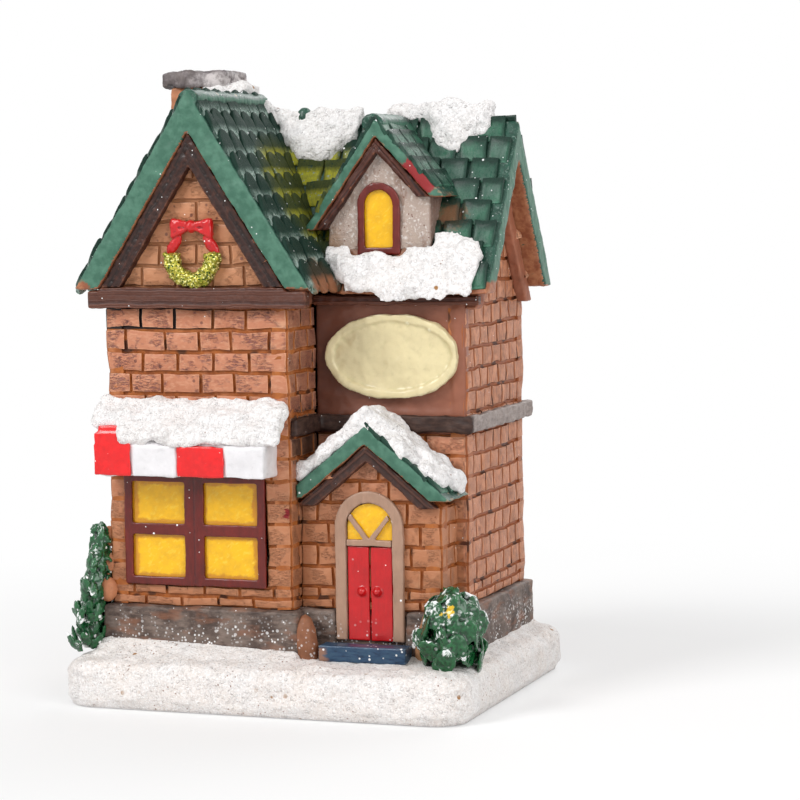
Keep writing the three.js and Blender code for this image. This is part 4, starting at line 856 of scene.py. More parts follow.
def timber_paint(name, centre, pitch, dark, light):
    """Dark brown boards whose grain follows the slopes on both sides of a centre line."""
    paint = Paint(name, dark)
    across = abs(paint.x - centre) * math.sin(pitch) + paint.z * math.cos(pitch)
    grain = paint.value(
        "ShaderNodeTexNoise",
        {"noise_dimensions": "1D"},
        {"W": across + paint.noise(5, 2) * 0.8, "Scale": 1.1, "Detail": 3, "Roughness": 0.7},
    )
    fine = paint.noise(0.8, 5)
    paint.over(grain.rise(0.35, 0.65), light)
    paint.over(fine.rise(0.5, 0.7) * 0.4, colours().timber)
    paint.over(paint.hollows() * 0.8, "160C0A")
    paint.over(paint.worn(fine) * 0.7, "8E583C")
    paint.glitter(0.05)
    return paint.done(grain * 2 + fine * 0.5, 0.2, Roughness=0.45 + fine * 0.1, Coat_Weight=0.15)


def stone_paint():
    """Dark brown stone with washed patches, and grains of snow near its foot."""
    paint = Paint("stone_resin", "4A3C36")
    fine = paint.noise(1.0, 5, (0.5, 0.5, 1.5), 0.65)
    broad = paint.noise(4.5, 4, None, 0.6)
    wash = paint.noise(3, 4, (0.6, 0.6, 1.6)).rise(0.52, 0.64)
    foot = paint.z.fall(10, 15.5) * paint.noise(4, 2).rise(0.38, 0.56)
    grains = paint.dots(0.6, 0.24, 0.7) + paint.dots(1.1, 0.2, 0.4)
    paint.over(broad.rise(0.42, 0.6), colours().stone)
    paint.over(fine.rise(0.5, 0.65) * 0.5, "8C7A70")
    paint.over(wash * 0.6, "84563E")
    paint.over(fine.fall(0.3, 0.45) * 0.7, "2E2420")
    paint.over(paint.hollows(), "241A18")
    paint.over(foot * grains, (0.88, 0.88, 0.88))
    paint.glitter(0.12)
    return paint.done(fine + broad, 0.12, Roughness=0.5 + fine * 0.12)


def band_paint():
    """Grey at the sides, dark brown at the front."""
    paint = Paint("string_course_resin", "7A6E6A")
    fine = paint.noise(1.0, 5, (0.5, 0.5, 1.5), 0.65)
    front = paint.y.fall(MAIN_FRONT - 0.6, MAIN_FRONT + 0.4) * paint.x.rise(LEFT - 0.9, LEFT - 0.3)
    dark = paint.blend(fine.rise(0.4, 0.7) * 0.6, "2E1D18", "5A4136")
    paint.over(fine.rise(0.35, 0.65), "A0948E")
    paint.over(front, dark)
    paint.over(paint.hollows(), "2A201E")
    paint.glitter(0.06)
    return paint.done(fine, 0.12, Roughness=0.5 + fine * 0.1)


def cap_paint():
    """Dark grey stone, pale where snow has rubbed off at its right."""
    paint = Paint("chimney_cap_resin", "463D40")
    fine = paint.noise(1.2, 5, None, 0.65)
    broad = paint.noise(3.5, 3)
    pale = (paint.x + broad * 6).rise(-20.5, -17.5) * paint.z.fall(104.2, 104.9)
    paint.over(broad.rise(0.4, 0.6), tint(colours().cap, 0.8))
    paint.over(fine.rise(0.5, 0.7) * 0.5, "9A9092")
    paint.over(pale * (fine * 1.4).rise(0.45, 0.8), "C8C0BF")
    paint.over(paint.hollows(), "2E2828")
    return paint.done(fine + broad, 0.15, Roughness=0.5)


@cached
def clay_paint():
    """Plain terracotta."""
    return resin("clay_resin", "BC7C58", edge="CF9A78", groove="7A4428")


@cached
def frame_paint():
    """Wine-red window frames."""
    return resin(
        "window_frame_resin",
        colours().window_frame,
        dark=0.45,
        light=1.6,
        edge="94392C",
        groove="32141A",
        roughness=0.3,
        coat=0.35,
        stroke=(2, 1, 0.6),
    )


@cached
def door_paint():
    """Glossy red."""
    return resin(
        "door_red_resin",
        colours().red,
        dark=0.7,
        light=1.2,
        groove="6A0E16",
        roughness=0.25,
        coat=0.45,
        stroke=(2, 1, 0.5),
        relief=0.04,
    )


def step_paint():
    """Dark blue with a bare brown left end."""
    paint = Paint("doorstep_resin", colours().blue)
    fine = paint.noise(1.1, 5, (0.5, 1, 2), 0.65)
    bare = (paint.x + fine * 3).fall(10.4, 11.4) * paint.z.fall(10, 10.4)
    paint.over(fine.rise(0.4, 0.6), "2E4A62")
    paint.over(fine.fall(0.3, 0.45) * 0.8, "101C2A")
    paint.over(bare, "8A6654")
    paint.over(paint.worn(fine) * 0.7, "6A7E8C")
    paint.over(paint.dots(0.8, 0.2, 0.25) * 0.8, (0.88, 0.88, 0.88))
    return paint.done(fine, 0.1, Roughness=0.35, Coat_Weight=0.25, Coat_Roughness=0.2)


def window_paint():
    """Yellow window film with mottled brush tone, orange towards the bars of the shop window."""
    paint = Paint("window_film", colours().pane)
    fine = paint.noise(1.6, 5, None, 0.6)
    streaks = paint.noise(0.9, 4, (1, 1, 1.8), turn=(0, 0.6, 0))
    low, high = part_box("shop_window_frame")
    middle = (low + high) / 2 / MM
    half = (high - low) / 2 / MM
    wander = fine * 1.6 - 0.8
    clear = (abs(paint.x - middle.x) + wander).between(2.1, half.x - 2.5, 0.35)
    clear = clear * (abs(paint.z - middle.z) + wander).between(1.7, half.z - 2.1, 0.35)
    shop = paint.x.fall(1, 2) * paint.z.fall(40, 41)
    paint.over(fine.rise(0.4, 0.65) * 0.6, "D8A018")
    paint.over(streaks.rise(0.55, 0.68) * 0.3, "F6DC52")
    paint.over((1 - clear) * shop * 0.6, "B86A18")
    return paint.done(fine, 0.1, Roughness=0.22, Coat_Weight=0.4, Coat_Roughness=0.1)


def wreath_paint():
    """Gold and green glitter."""
    paint = Paint("wreath_resin", "7C8022")
    _, chance = paint.cells(4.2)
    paint.over(chance.rise(0.3, 0.6), "B4AA44")
    paint.over(chance.rise(0.82, 0.86), "F0EBA0")
    paint.over(chance.fall(0.08, 0.12), "2E4A20")
    return paint.done(chance, 0.3, Metallic=0.55, Roughness=0.25 + chance * 0.3)


@cached
def leaf_paint():
    """Glossy green leaves with painted shade in their hollows, snow on what stands out, and one
    yellow berry.
    """
    paint = Paint("leaf_resin", colours().leaf)
    fine = paint.noise(1.1, 4)
    bend = paint.bend()
    dusted = paint.noise(2.4, 3).rise(0.6, 0.63) * (bend + 0.02).rise(0.02, 0.05)
    tree = paint.x.fall(-20, -19)
    snow = dusted + paint.dots(1.2, 0.2, 0.25) * (tree * 0.7 + 0.3)
    paint.over(fine.rise(0.4, 0.65), "1F6034")
    # Painted shade: near black in the hollows between the leaves.
    paint.over((0.01 - bend).rise(0, 0.05) * 0.95, "061A0E")
    paint.over(snow, (0.88, 0.89, 0.89))
    paint.over(paint.spot((31, -22.6, 17.6), 2.9, 3.1, fine), "D8B020")
    return paint.done(fine, 0.1, Roughness=0.25 + snow * 0.4, Coat_Weight=0.5)


def plastic(name, code, roughness, metallic=0.0, alpha=1.0, grain=0.02):
    """Moulded plastic or plated metal with a fine texture."""
    paint = Paint(name, code)
    fine = paint.noise(0.25, 3)
    paint.over(fine.rise(0.4, 0.7) * 0.4, tint(code, 0.8))
    paint.set(Roughness=roughness + fine * 0.1, Metallic=metallic, Alpha=alpha)
    return paint.done(fine, grain)


# Walls of carved bricks


def courses(top):
    """Heights of the joints between courses, from the plinth up."""
    pitch = sizes().course_height / MM
    first = 19.5
    lowest = 1.75
    least = 0.9
    heights = [PLINTH_TOP + lowest]
    while first + pitch * (len(heights) - 1) < top - least:
        heights.append(first + pitch * (len(heights) - 1))
    return heights


def upright_joints(course, width, brick, seed):
    """Places of the upright joints in one course, staggered from course to course."""
    draw = random.Random(seed * 100 + course)
    place = brick * (0.63 if course % 2 else 1.03)
    places = []
    while place < width - brick * 0.3:
        places.append(place + stray(draw, BRICK_STRAY) * brick)
        place += brick
    return places


def wall_face(name, corner, turn, width, top, seed, slopes=(), hole=None, brick=None):
    """One wall: a sheet cut along its joints, bricks raised, then thickened inwards.

    The sheet is laid out along X from the corner, and turned about the corner at the end.
    Slopes are (point, normal) pairs along the wall and up, and a hole is left and right
    edges with bottom and top heights. A wall with short bricks gives their length.
    """
    brick = brick or sizes().brick_length / MM
    middle = (width / 2, 0, (PLINTH_TOP + top) / 2)
    scale = (width, top - PLINTH_TOP, 1)
    upright = (math.pi / 2, 0, 0)
    piece = primitive(bpy.ops.mesh.primitive_plane_add, name, middle, scale, upright, size=1)
    edit(piece)
    for (u, z), (normal_u, normal_z) in slopes:
        bpy.ops.mesh.select_all(action="SELECT")
        cut((u, 0, z), (normal_u, 0, normal_z), clear_outer=True)
    cut_bricks(piece, width, top, hole, brick, seed)
    if hole:
        pick_faces(piece, lambda f: inside(f, hole))
        bpy.ops.mesh.delete(type="FACE")
    raise_bricks(piece)
    leave()
    for vertex in piece.data.vertices:
        vertex.co.y += sizes().joint_depth
    modify(piece, "SUBSURF", subdivision_type="SIMPLE", levels=1, render_levels=1)
    modify(piece, "SOLIDIFY", thickness=BRICK_SHELL * MM, offset=-1)
    piece.location = mm(*corner, 0)
    piece.rotation_euler = (0, 0, math.radians(turn))
    return settle(piece)


def inside(face, hole):
    """Whether a face of an upright sheet lies in a hole."""
    centre = face.calc_center_median() / MM
    return hole[0] < centre.x < hole[1] and hole[2] < centre.z < hole[3]


def cut_bricks(piece, width, top, hole, brick, seed):
    """Cuts the sheet along its courses and, course by course, along the upright joints."""
    heights = courses(top)
    for height in heights:
        bpy.ops.mesh.select_all(action="SELECT")
        cut((0, 0, height), (0, 0, 1))
    for course, (low, high) in enumerate(zip([PLINTH_TOP, *heights], [*heights, top])):
        joints = upright_joints(course, width, brick, seed)
        if hole and hole[2] < (low + high) / 2 < hole[3]:
            joints = [u for u in joints if not hole[0] - 2.5 < u < hole[1] + 2.5]
            joints += [hole[0], hole[1]]
        for u in joints:
            pick_faces(piece, lambda f: low * MM < f.calc_center_median().z < high * MM)
            cut((u, 0, 0), (1, 0, 0))


def raise_bricks(piece):
    """Raises each brick out of its joints, whose faces keep the first material."""
    joint = sizes().joint_width
    depth = sizes().joint_depth
    piece.data.materials.append(joint_paint())
    piece.data.materials.append(brick_paint())
    bpy.ops.mesh.select_all(action="SELECT")
    bpy.ops.mesh.remove_doubles(threshold=joint * 0.5)
    for thickness, rise, painted in ((0.85, 0, False), (0.5, 1, False), (1, 0.15, True)):
        if painted:
            piece.active_material_index = 1
            bpy.ops.object.material_slot_assign()
        bpy.ops.mesh.inset(
            thickness=joint * thickness,
            depth=depth * rise,
            use_individual=True,
            use_even_offset=False,
        )


def gable_cuts(ridge_u, ridge_z, pitch):
    """The cuts under both roof slopes of a gable."""
    normals = [(side * math.sin(pitch), math.cos(pitch)) for side in (-1, 1)]
    return [((ridge_u, ridge_z), normal) for normal in normals]


class VILLAGE_OT_walls(bpy.types.Operator):
    """Builds the brick walls and the smooth panel behind the sign."""

    bl_idname = "village.walls"
    bl_label = "Walls"

    def execute(self, context):
        walls = join([*self.wing(), *self.entrance(), *self.main()], "brick_walls")
        roughen(walls, 6, 0.75, sideways=True)
        roughen(walls, 1.3, 0.2)
        shade_by_angle(walls, 50)
        ride(walls, "brick_resin", "house_walls")
        self.panel()
        return {"FINISHED"}

    @staticmethod
    def wing():
        """The wing's gable wall and the short wall back to the main front."""
        under = WING_RIDGE.z - ROOF_THICKNESS
        gable = gable_cuts(WING_RIDGE.x - LEFT, under, PITCH)
        window = (2.9, 28, 19.6, 38.2)
        width = WING_RIGHT - LEFT
        depth = MAIN_FRONT - WING_FRONT
        side = (WING_RIGHT, WING_FRONT)
        return [
            wall_face("wing_front", (LEFT, WING_FRONT), 0, width, under, 1, gable, window),
            wall_face("wing_side", side, 90, depth, SIDE_WALL_TOP, 2, brick=5),
        ]

    @staticmethod
    def entrance():
        """The entrance's front under its gable, and its right side."""
        top = PORCH_RIDGE - 3.2
        side_top = 32.9
        gable = gable_cuts(PORCH_X - WING_RIGHT, top, PORCH_PITCH)
        width = ENTRANCE_RIGHT - WING_RIGHT
        depth = MAIN_FRONT - ENTRANCE_FRONT
        start = (WING_RIGHT, ENTRANCE_FRONT)
        end = (ENTRANCE_RIGHT, ENTRANCE_FRONT)
        return [
            wall_face("entrance_front", start, 0, width, top, 3, gable, brick=5.2),
            wall_face("entrance_side", end, 90, depth, side_top, 4, brick=4),
        ]

    @staticmethod
    def main():
        """The main walls: right gable, back, left and the strip beside the entrance."""
        under = MAIN_RIDGE.z - ROOF_THICKNESS
        strip_top = 44
        gable = gable_cuts(MAIN_RIDGE.y - MAIN_FRONT, under, PITCH)
        right = (RIGHT, MAIN_FRONT)
        front = (WING_RIGHT, MAIN_FRONT)
        return [
            wall_face("right_wall", right, 90, BACK - MAIN_FRONT, under, 5, gable, brick=4.6),
            wall_face("back_wall", (RIGHT, BACK), 180, RIGHT - LEFT, EAVE, 6),
            wall_face("left_wall", (LEFT, BACK), 270, BACK - WING_FRONT, SIDE_WALL_TOP, 7),
            wall_face("main_front", front, 0, RIGHT - WING_RIGHT, strip_top, 8),
        ]

    @staticmethod
    def panel():
        """The smooth panel with a ledge at its foot and a rounded right edge."""
        front = MAIN_FRONT
        parts = [
            block("panel", (WING_RIGHT, front, 44), (RIGHT - 0.1, front + 2.2, EAVE)),
            block("ledge", (WING_RIGHT, front - 0.25, 46.9), (RIGHT - 1, front + 1, 48)),
            rod("edge", (RIGHT - 1.6, front + 0.5, 56), (1.1, 0.9), 17.4),
        ]
        panel = join(parts, "sign_panel")
        cast(panel, 1.1, 6, ((5, 0.6), (1.5, 0.15)))
        finish(panel, panel_paint(), "brick_resin", "house_walls")


# Snow


class VILLAGE_OT_base(bpy.types.Operator):
    """Builds the snowy base with its drifts against the walls."""

    bl_idname = "village.base"
    bl_label = "Base"

    def execute(self, context):
        left, right = -30.3, 30.95
        foot, back = -21.5, 24.1
        base = copy_of("snow_ground", "snow_base")
        drifts = [
            self.drift((-30.5, foot), (4.5, foot), (0, -1), 2.9, 1.6, 5.2),
            self.drift((4.5, -17.6), (10, -17.6), (0, -1), 1.3, 0.8, 4.5),
            self.drift((22.5, -17.6), (right, -9), (0.3, -1), 1.0, 0.7, 5),
            self.drift((right, -9.5), (right, 24), (1, 0), 0.9, 0.8, 2.6),
            self.drift((right, back), (left, back), (0, 1), 1.0, 1.4, 3.4),
            self.drift((left, 24), (left, foot), (-1, 0), 1.4, 2.6, 3),
        ]
        base = join([base, *drifts], "snow_ground")
        cast(base, 1.5, 5, ())
        outside = [v.index for v in base.data.vertices if self.outdoors(v.co / MM)]
        group = base.vertex_groups.new(name="outdoors")
        group.add(outside, 1, "REPLACE")
        for size, height in ((5, 1.1), (1.8, 0.5), (0.7, 0.2)):
            roughen(base, size, height, group="outdoors")
        base.vertex_groups.clear()
        for vertex in base.data.vertices:
            if vertex.co.z < 0.35 * MM:
                vertex.co.z = 0
        finish(base, ground_snow_paint(), "snow_resin", "snow_base")
        return {"FINISHED"}

    @staticmethod
    def outdoors(place):
        """Whether a place lies outside the plinth and above the base's lower edge."""
        x, y, z = place
        in_wing = -30.6 < x < 4.6 and y > -21.6
        in_main = -30.6 < x < 31.1 and y > -9.7
        in_entrance = 3 < x < 29 and y > -17.5
        return z > 1.2 and (y > 24.3 or not (in_wing or in_main or in_entrance))

    @staticmethod
    def drift(start, end, outward, rise_start, rise_end, reach):
        """A bank of snow along the wall's foot, falling outwards."""
        corners = {}
        for along, (point, rise) in enumerate(((start, rise_start), (end, rise_end))):
            for across, step in enumerate((-1.5, reach)):
                x = point[0] + outward[0] * step
                y = point[1] + outward[1] * step
                top = GROUND - 0.6 + (rise + 0.9) * (1 - across)
                corners[(along, across, 0)] = (x, y, GROUND - 1.5)
                corners[(along, across, 1)] = (x, y, top)
        piece = wedge("drift", corners)
        edit(piece)
        bpy.ops.mesh.normals_make_consistent(inside=False)
        leave()
        return piece


class VILLAGE_OT_snow(bpy.types.Operator):
    """Builds the snow on the roofs."""

    bl_idname = "village.snow"
    bl_label = "Snow on the roofs"

    def execute(self, context):
        scrap = ball("scrap", (-18.8, 3.6, 101.2), (2.7, 1.7, 1.5))
        self.heap("chimney_side_snow", "chimney_snow", extras=[scrap])
        room = block("room", (10.0, -15, 72.9), (19.3, -4, 80))
        self.heap("dormer_foot_heap", "dormer_foot_snow", room=room, growth=0.1, lift=0.8)
        room = block("room", (-32, -28, 42), (-24.2, -22.2, 46.4))
        self.heap("awning_heap", "awning_snow", room=room)
        self.heap("left_ridge_heap", "ridge_snow_left")
        self.heap("right_ridge_heap", "ridge_snow_right")
        turn = (0, PORCH_PITCH, 0)
        scraps = [
            ball("scrap", (21.2, -16.9, 42.6), (3.6, 1.5, 0.9), turn),
            ball("scrap", (26.4, -16.4, 38.4), (2.6, 1.8, 0.9), turn),
        ]
        self.heap("porch_heap", "porch_snow", extras=scraps)
        return {"FINISHED"}

    @staticmethod
    def heap(name, node, extras=(), room=None, growth=0.55, lift=0.0):
        """Turns one snow solid into a lumpy, grainy heap, and leaves room where asked."""
        heap = join([copy_of(name, node), *extras], name)
        if room:
            carve(heap, room)
        remesh(heap, 0.5 * MM, 6)
        swell(heap, growth)
        roughen(heap, 3.2, 2.2, sideways=True)
        cast(heap, 0.9, 2, ((4.2, sizes().snow_lumps / MM), (1.2, 0.4), (0.5, 0.22)))
        heap.location.z += lift * MM
        finish(heap, roof_snow_paint(), "snow_resin", node)


# Roofs


def tongue_tile():
    """A tile with a round lower end."""
    width = sizes().tile_width / MM
    row = sizes().tile_row / MM
    half = row * 0.75
    thick = sizes().tile_thickness / MM
    tile = rod("tongue_tile", (0, 0, 0), (width * 0.5, half), thick, sides=16)
    edit(tile)
    for level in (-0.5, 0, 0.5):
        cut((0, level * half, 0), (0, 1, 0))
        bpy.ops.mesh.select_all(action="SELECT")
    leave()
    return soften(tile, width * 0.5, half, row)


def oblong_tile(width, length, thick, row):
    """A tile with square corners."""
    low = (-width / 2, -length / 2, -thick / 2)
    tile = block("oblong_tile", low, (width / 2, length / 2, thick / 2))
    edit(tile)
    bpy.ops.mesh.subdivide(number_cuts=2)
    leave()
    return soften(tile, width / 2, length / 2, row)


def soften(tile, half_width, half_length, row):
    """Rounds a tile's edges, and notes on each corner where on the open part it lies."""
    modify(tile, "BEVEL", width=0.14 * MM, segments=2, angle_limit=math.radians(50))
    edit(tile)
    pick_faces(tile, lambda f: f.normal.z > 0.95)
    for depth in (0.05, 0):
        bpy.ops.mesh.inset(thickness=0.5 * MM, depth=depth * MM)
    leave()
    spots = tile.data.attributes.new("tile_place", "FLOAT_VECTOR", "POINT")
    for vertex, item in zip(tile.data.vertices, spots.data):
        x, y, z = vertex.co / MM
        item.vector = (x / half_width, (y + half_length) / row, z)
    return tile


def slope(side, pitch, along_x=False):
    """The directions down a roof slope and along its ridge."""
    out, fall = side * math.cos(pitch), -math.sin(pitch)
    if along_x:
        return Vector((0, out, fall)).normalized(), Vector((1, 0, 0))
    return Vector((out, 0, fall)).normalized(), Vector((0, 1, 0))


def lay_tiles(tile, ridge, directions, reach, length, row, width, allowed, draw, start_at=0.45):
    """Copies of one tile in staggered rows down a slope, narrower at both ends of a row.

    The directions go down the slope and along the ridge, the reach is where rows start and
    end along the ridge, and the length is how far down the slope they go.
    """
    down, along = directions
    normal = along.cross(-down).normalized()
    sideways = along if normal.z > 0 else -along
    normal = normal if normal.z > 0 else -normal
    basis = Matrix((sideways, -down, normal)).transposed().to_4x4()
    tiles = []
    for index in range(int(length / row)):
        start = reach[0] - (width * 0.5 if index % 2 else 0)
        while start < reach[1]:
            left = max(start, reach[0])
            right = min(start + width, reach[1])
            start += width
            across = (left + right) / 2 + stray(draw, TILE_SIDE_STRAY)
            point = ridge + down * (row * (index + start_at) + stray(draw, TILE_DOWN_STRAY))
            point = point + along * across
            if right - left < width * 0.3 or not allowed(point):
                continue
            at = (point + normal * (TILE_LIFT + stray(draw, TILE_LIFT_STRAY))) * MM
            angle = math.radians(TILE_TILT + stray(draw, TILE_TILT_STRAY))
            tilt = Matrix.Rotation(angle, 4, "X")
            spin = Matrix.Rotation(math.radians(stray(draw, TILE_SPIN_STRAY)), 4, "Z")
            fit = Matrix.Scale((right - left) / width, 4, (1, 0, 0))
            tiles.append(place_copy(tile, Matrix.Translation(at) @ basis @ (tilt @ spin) @ fit))
    bpy.data.objects.remove(tile)
    return tiles


def tiled(name, node, tiles, extras=(), grain=1.0):
    """A cast roof with its tiles standing on it."""
    roof = join([copy_of(name, node), *extras], name)
    cast(roof, grain, 3, ((3, 0.4), (1.0, 0.12)))
    roof.data.materials.append(roof_paint())
    tiles = join(tiles)
    tiles.data.materials.append(tile_paint())
    roughen(tiles, 2.5, 0.5, sideways=True)
    roughen(tiles, 0.9, 0.15)
    shade_by_angle(tiles, 40)
    ride(join([roof, tiles], name), "roof_resin", node)


class VILLAGE_OT_roofs(bpy.types.Operator):
    """Builds the roofs of the wing, the main house, the dormer and the porch."""

    bl_idname = "village.roofs"
    bl_label = "Roofs"

    def execute(self, context):
        self.wing(random.Random(11))
        self.main(random.Random(12))
        self.dormer(random.Random(13))
        self.porch(random.Random(14))
        return {"FINISHED"}

    @staticmethod
    def wing(draw):
        """Steep roof with its gable to the front."""
        row = sizes().tile_row / MM
        width = sizes().tile_width / MM
        length, start_at = 38, 0.7
        sides = (
            (1, (WING_RAKE + 0.25, 8), lambda p: p.x + p.y < VALLEY + 1.5 and p.x - p.y > REAR_HIP),
            (-1, (WING_RAKE + 0.05, 24.4), lambda p: p.x + p.y < HIP + 1.5),
        )
        tiles = []
        for side, reach, allowed in sides:
            at = (WING_RIDGE, slope(side, PITCH), reach, length, row, width)
            tiles += lay_tiles(tongue_tile(), *at, allowed, draw, start_at)
        middle = (WING_RIDGE.x + 0.1, -7.2, 99.5)
        cap = rod("ridge_cap", middle, (1.9, 1.45), 30, (math.pi / 2, 0, 0))
        tiled("wing_tiles", "wing_roof", tiles, [cap])

    @staticmethod
    def main(draw):
        """Main roof with a verge at the right and rows of oblong tiles."""
        width, row, length, thick = 5.2, 4.1, 33, 0.9
        sides = (
            (-1, -9, lambda p: p.x + p.y > VALLEY - 1.5),
            (1, -33.6, lambda p: p.x + p.y > HIP - 1.0),
        )
        tiles = []
        for side, start, allowed in sides:
            tile = oblong_tile(width - 0.5, row + 0.6, thick, row)
            reach = (start, VERGE - 0.3)
            at = (MAIN_RIDGE, slope(side, PITCH, True), reach, length, row, width)
            tiles += lay_tiles(tile, *at, allowed, draw)
        knob = ball("ridge_knob", (-4.1, 7.3, 96.6), (1.6, 1.3, 2.0))
        tiled("main_tiles", "main_roof", tiles, [knob], 1.2)

    @staticmethod
    def dormer(draw):
        """Small roof over the dormer, with round ridge tiles."""
        ridge = Vector((DORMER_X, 0, MAIN_RIDGE.z))
        row, width, reach = 3.0, 3.8, (-9.2, 6)
        tiles = []
        for side, pitch, length in ((-1, DORMER_LEFT_PITCH, 19), (1, DORMER_RIGHT_PITCH, 15.5)):
            tiles += lay_tiles(
                oblong_tile(3.6, 3.6, 0.7, row),
                *(ridge, slope(side, pitch), reach, length, row, width),
                lambda p: p.z - 1 > MAIN_RIDGE.z - (MAIN_RIDGE.y - p.y) * SLOPE,
                draw,
            )
        lying = (math.pi / 2, 0, 0)
        places = [(DORMER_X - 0.6, -7.2 + 3.1 * index, 95.0) for index in range(4)]
        ridge_tiles = [rod("ridge_tile", place, (1.9, 1.7), 3.3, lying) for place in places]
        tiled("dormer_tiles", "dormer_roof", tiles, ridge_tiles, 0.85)

    @staticmethod
    def porch(draw):
        """Small roof over the entrance."""
        ridge = Vector((PORCH_X, 0, PORCH_RIDGE))
        row, width, length, reach = 3.4, 3.9, 17, (-18.6, -8.4)
        tile = oblong_tile(3.6, 3.6, 0.6, row)
        at = (ridge, slope(1, PORCH_PITCH), reach, length, row, width)
        tiled("porch_tiles", "porch_roof", lay_tiles(tile, *at, lambda p: True, draw), (), 0.85)


# Trims


class VILLAGE_OT_timber(bpy.types.Operator):
    """Builds the boards and beams with their carved lines."""

    bl_idname = "village.timber"
    bl_label = "Timber"

    def execute(self, context):
        gable = timber_paint("gable_timber_resin", WING_RIDGE.x, PITCH, "1C0E0B", "381B13")
        porch = timber_paint("porch_timber_resin", PORCH_X, PORCH_PITCH, "2C1813", "4A2C22")
        dormer_pitch = math.radians(50)
        dormer = timber_paint("dormer_timber_resin", DORMER_X, dormer_pitch, "2A130D", "52291D")
        level = timber_paint("level_timber_resin", -200, 0, "3E1E15", "5E3424")
        stroke = (1, 1, 0.5)
        brown = resin("side_board_resin", "985E46", edge="B07A5C", groove="5A3024", stroke=stroke)
        main_pitches = (PITCH, PITCH)
        porch_pitches = (PORCH_PITCH, PORCH_PITCH)
        dormer_pitches = (DORMER_LEFT_PITCH, DORMER_RIGHT_PITCH)
        for name, node, material, centre, pitches, offsets in (
            ("gable_boards", "gable_bargeboard", gable, WING_RIDGE.x, main_pitches, (1.2, 2.3)),
            ("porch_boards", "porch_bargeboard", porch, PORCH_X, porch_pitches, (1.2,)),
            ("dormer_boards", "dormer_bargeboard", dormer, DORMER_X, dormer_pitches, (0.8, 1.5)),
        ):
            boards = copy_of(name, node)
            self.score(boards, centre, pitches, offsets)
            self.complete(boards, material, node)
        beam = copy_of("gable_tie_beam", "gable_beam")
        low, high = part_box("gable_beam")
        left, right, front = low.x / MM - 1, high.x / MM + 1, low.y / MM
        line = (low.z + (high.z - low.z) * 0.62) / MM
        carve(beam, block("line", (left, front - 1, line), (right, front + 0.4, line + 0.35)))
        self.complete(beam, level, "gable_beam")
        self.complete(copy_of("eave_beam", "eave_board"), level, "eave_board")
        self.complete(copy_of("side_boards", "side_gable_board"), brown, "side_gable_board")
        return {"FINISHED"}

    @staticmethod
    def complete(board, material, node):
        """Gives a board its worn skin and its paint."""
        cast(board, 0.75, 2, ((4, 0.5), (1.2, 0.2)))
        finish(board, material, "timber_resin", node)

    @staticmethod
    def score(boards, centre, pitches, offsets):
        """Carves lines along the two sloping boards of a gable."""
        corners = [boards.matrix_world @ Vector(corner) / MM for corner in boards.bound_box]
        front = min(corner.y for corner in corners)
        top = max(corner.z for corner in corners)
        half, away = 16, 15
        for side, pitch in zip((-1, 1), pitches):
            for offset in offsets:
                x = centre + side * math.cos(pitch) * away - side * math.sin(pitch) * offset
                z = top - math.sin(pitch) * away - math.cos(pitch) * offset
                low = (x - half, front - 1, z - 0.17)
                high = (x + half, front + 0.4, z + 0.17)
                carve(boards, block("line", low, high, (0, side * pitch, 0)))


class VILLAGE_OT_stonework(bpy.types.Operator):
    """Builds the plinth, the string course, the pier and the chimney."""

    bl_idname = "village.stonework"
    bl_label = "Stonework and chimney"

    def execute(self, context):
        lumps = ((5, 0.7), (1.5, 0.2))
        dress("plinth", "stone_plinth", stone_paint(), "stone_resin", 1.3, 3, lumps)
        lumps = ((3, 0.6), (1.0, 0.25))
        dress("string_band", "string_course", band_paint(), "stone_resin", 1.0, 3, lumps)
        pier = [
            ball("pier_body", (WING_RIGHT + 1.9, WING_FRONT + 0.5, 10.6), (2.1, 1.9, 4.9)),
            rod("pier_foot", (WING_RIGHT + 2.1, WING_FRONT + 0.4, 9), (2.0, 1.8), 3),
        ]
        brown = resin("pier_resin", "8A5A40", dark=0.5, edge="B07E5C", groove="3A2018")
        mould("wing_pier", pier, brown)
        corner = [
            ball("corner_lump", (LEFT - 0.6, WING_FRONT - 0.5, 18.4), (1.9, 1.5, 2.2)),
            ball("corner_lump", (LEFT - 0.9, WING_FRONT + 0.6, 22.6), (1.6, 1.4, 2.0)),
            ball("corner_lump", (LEFT - 0.9, WING_FRONT + 1.4, 27.0), (1.3, 1.3, 1.8)),
        ]
        mould("corner_lumps", corner, clay_paint())
        lumps = ((3, 0.8), (1.0, 0.25))
        dress("chimney_bricks", "chimney_stack", clay_paint(), "brick_resin", 1.1, 3, lumps)
        lumps = ((4, 1.4), (1.2, 0.35))
        dress("chimney_top", "chimney_cap", cap_paint(), "chimney_cap_resin", 1.0, 5, lumps)
        return {"FINISHED"}


class VILLAGE_OT_dormer(bpy.types.Operator):
    """Builds the dormer's walls and window frame."""

    bl_idname = "village.dormer"
    bl_label = "Dormer"

    def execute(self, context):
        lumps = ((3, 0.4), (0.8, 0.25), (0.4, 0.15))
        dress("dormer_stucco", "dormer_walls", stucco_paint(), "stucco_resin", 0.9, 2, lumps)
        name, node = "dormer_window_surround", "dormer_window_frame"
        dress(name, node, frame_paint(), "window_frame_resin", 0.7, 3, ((2.5, 0.3),))
        return {"FINISHED"}


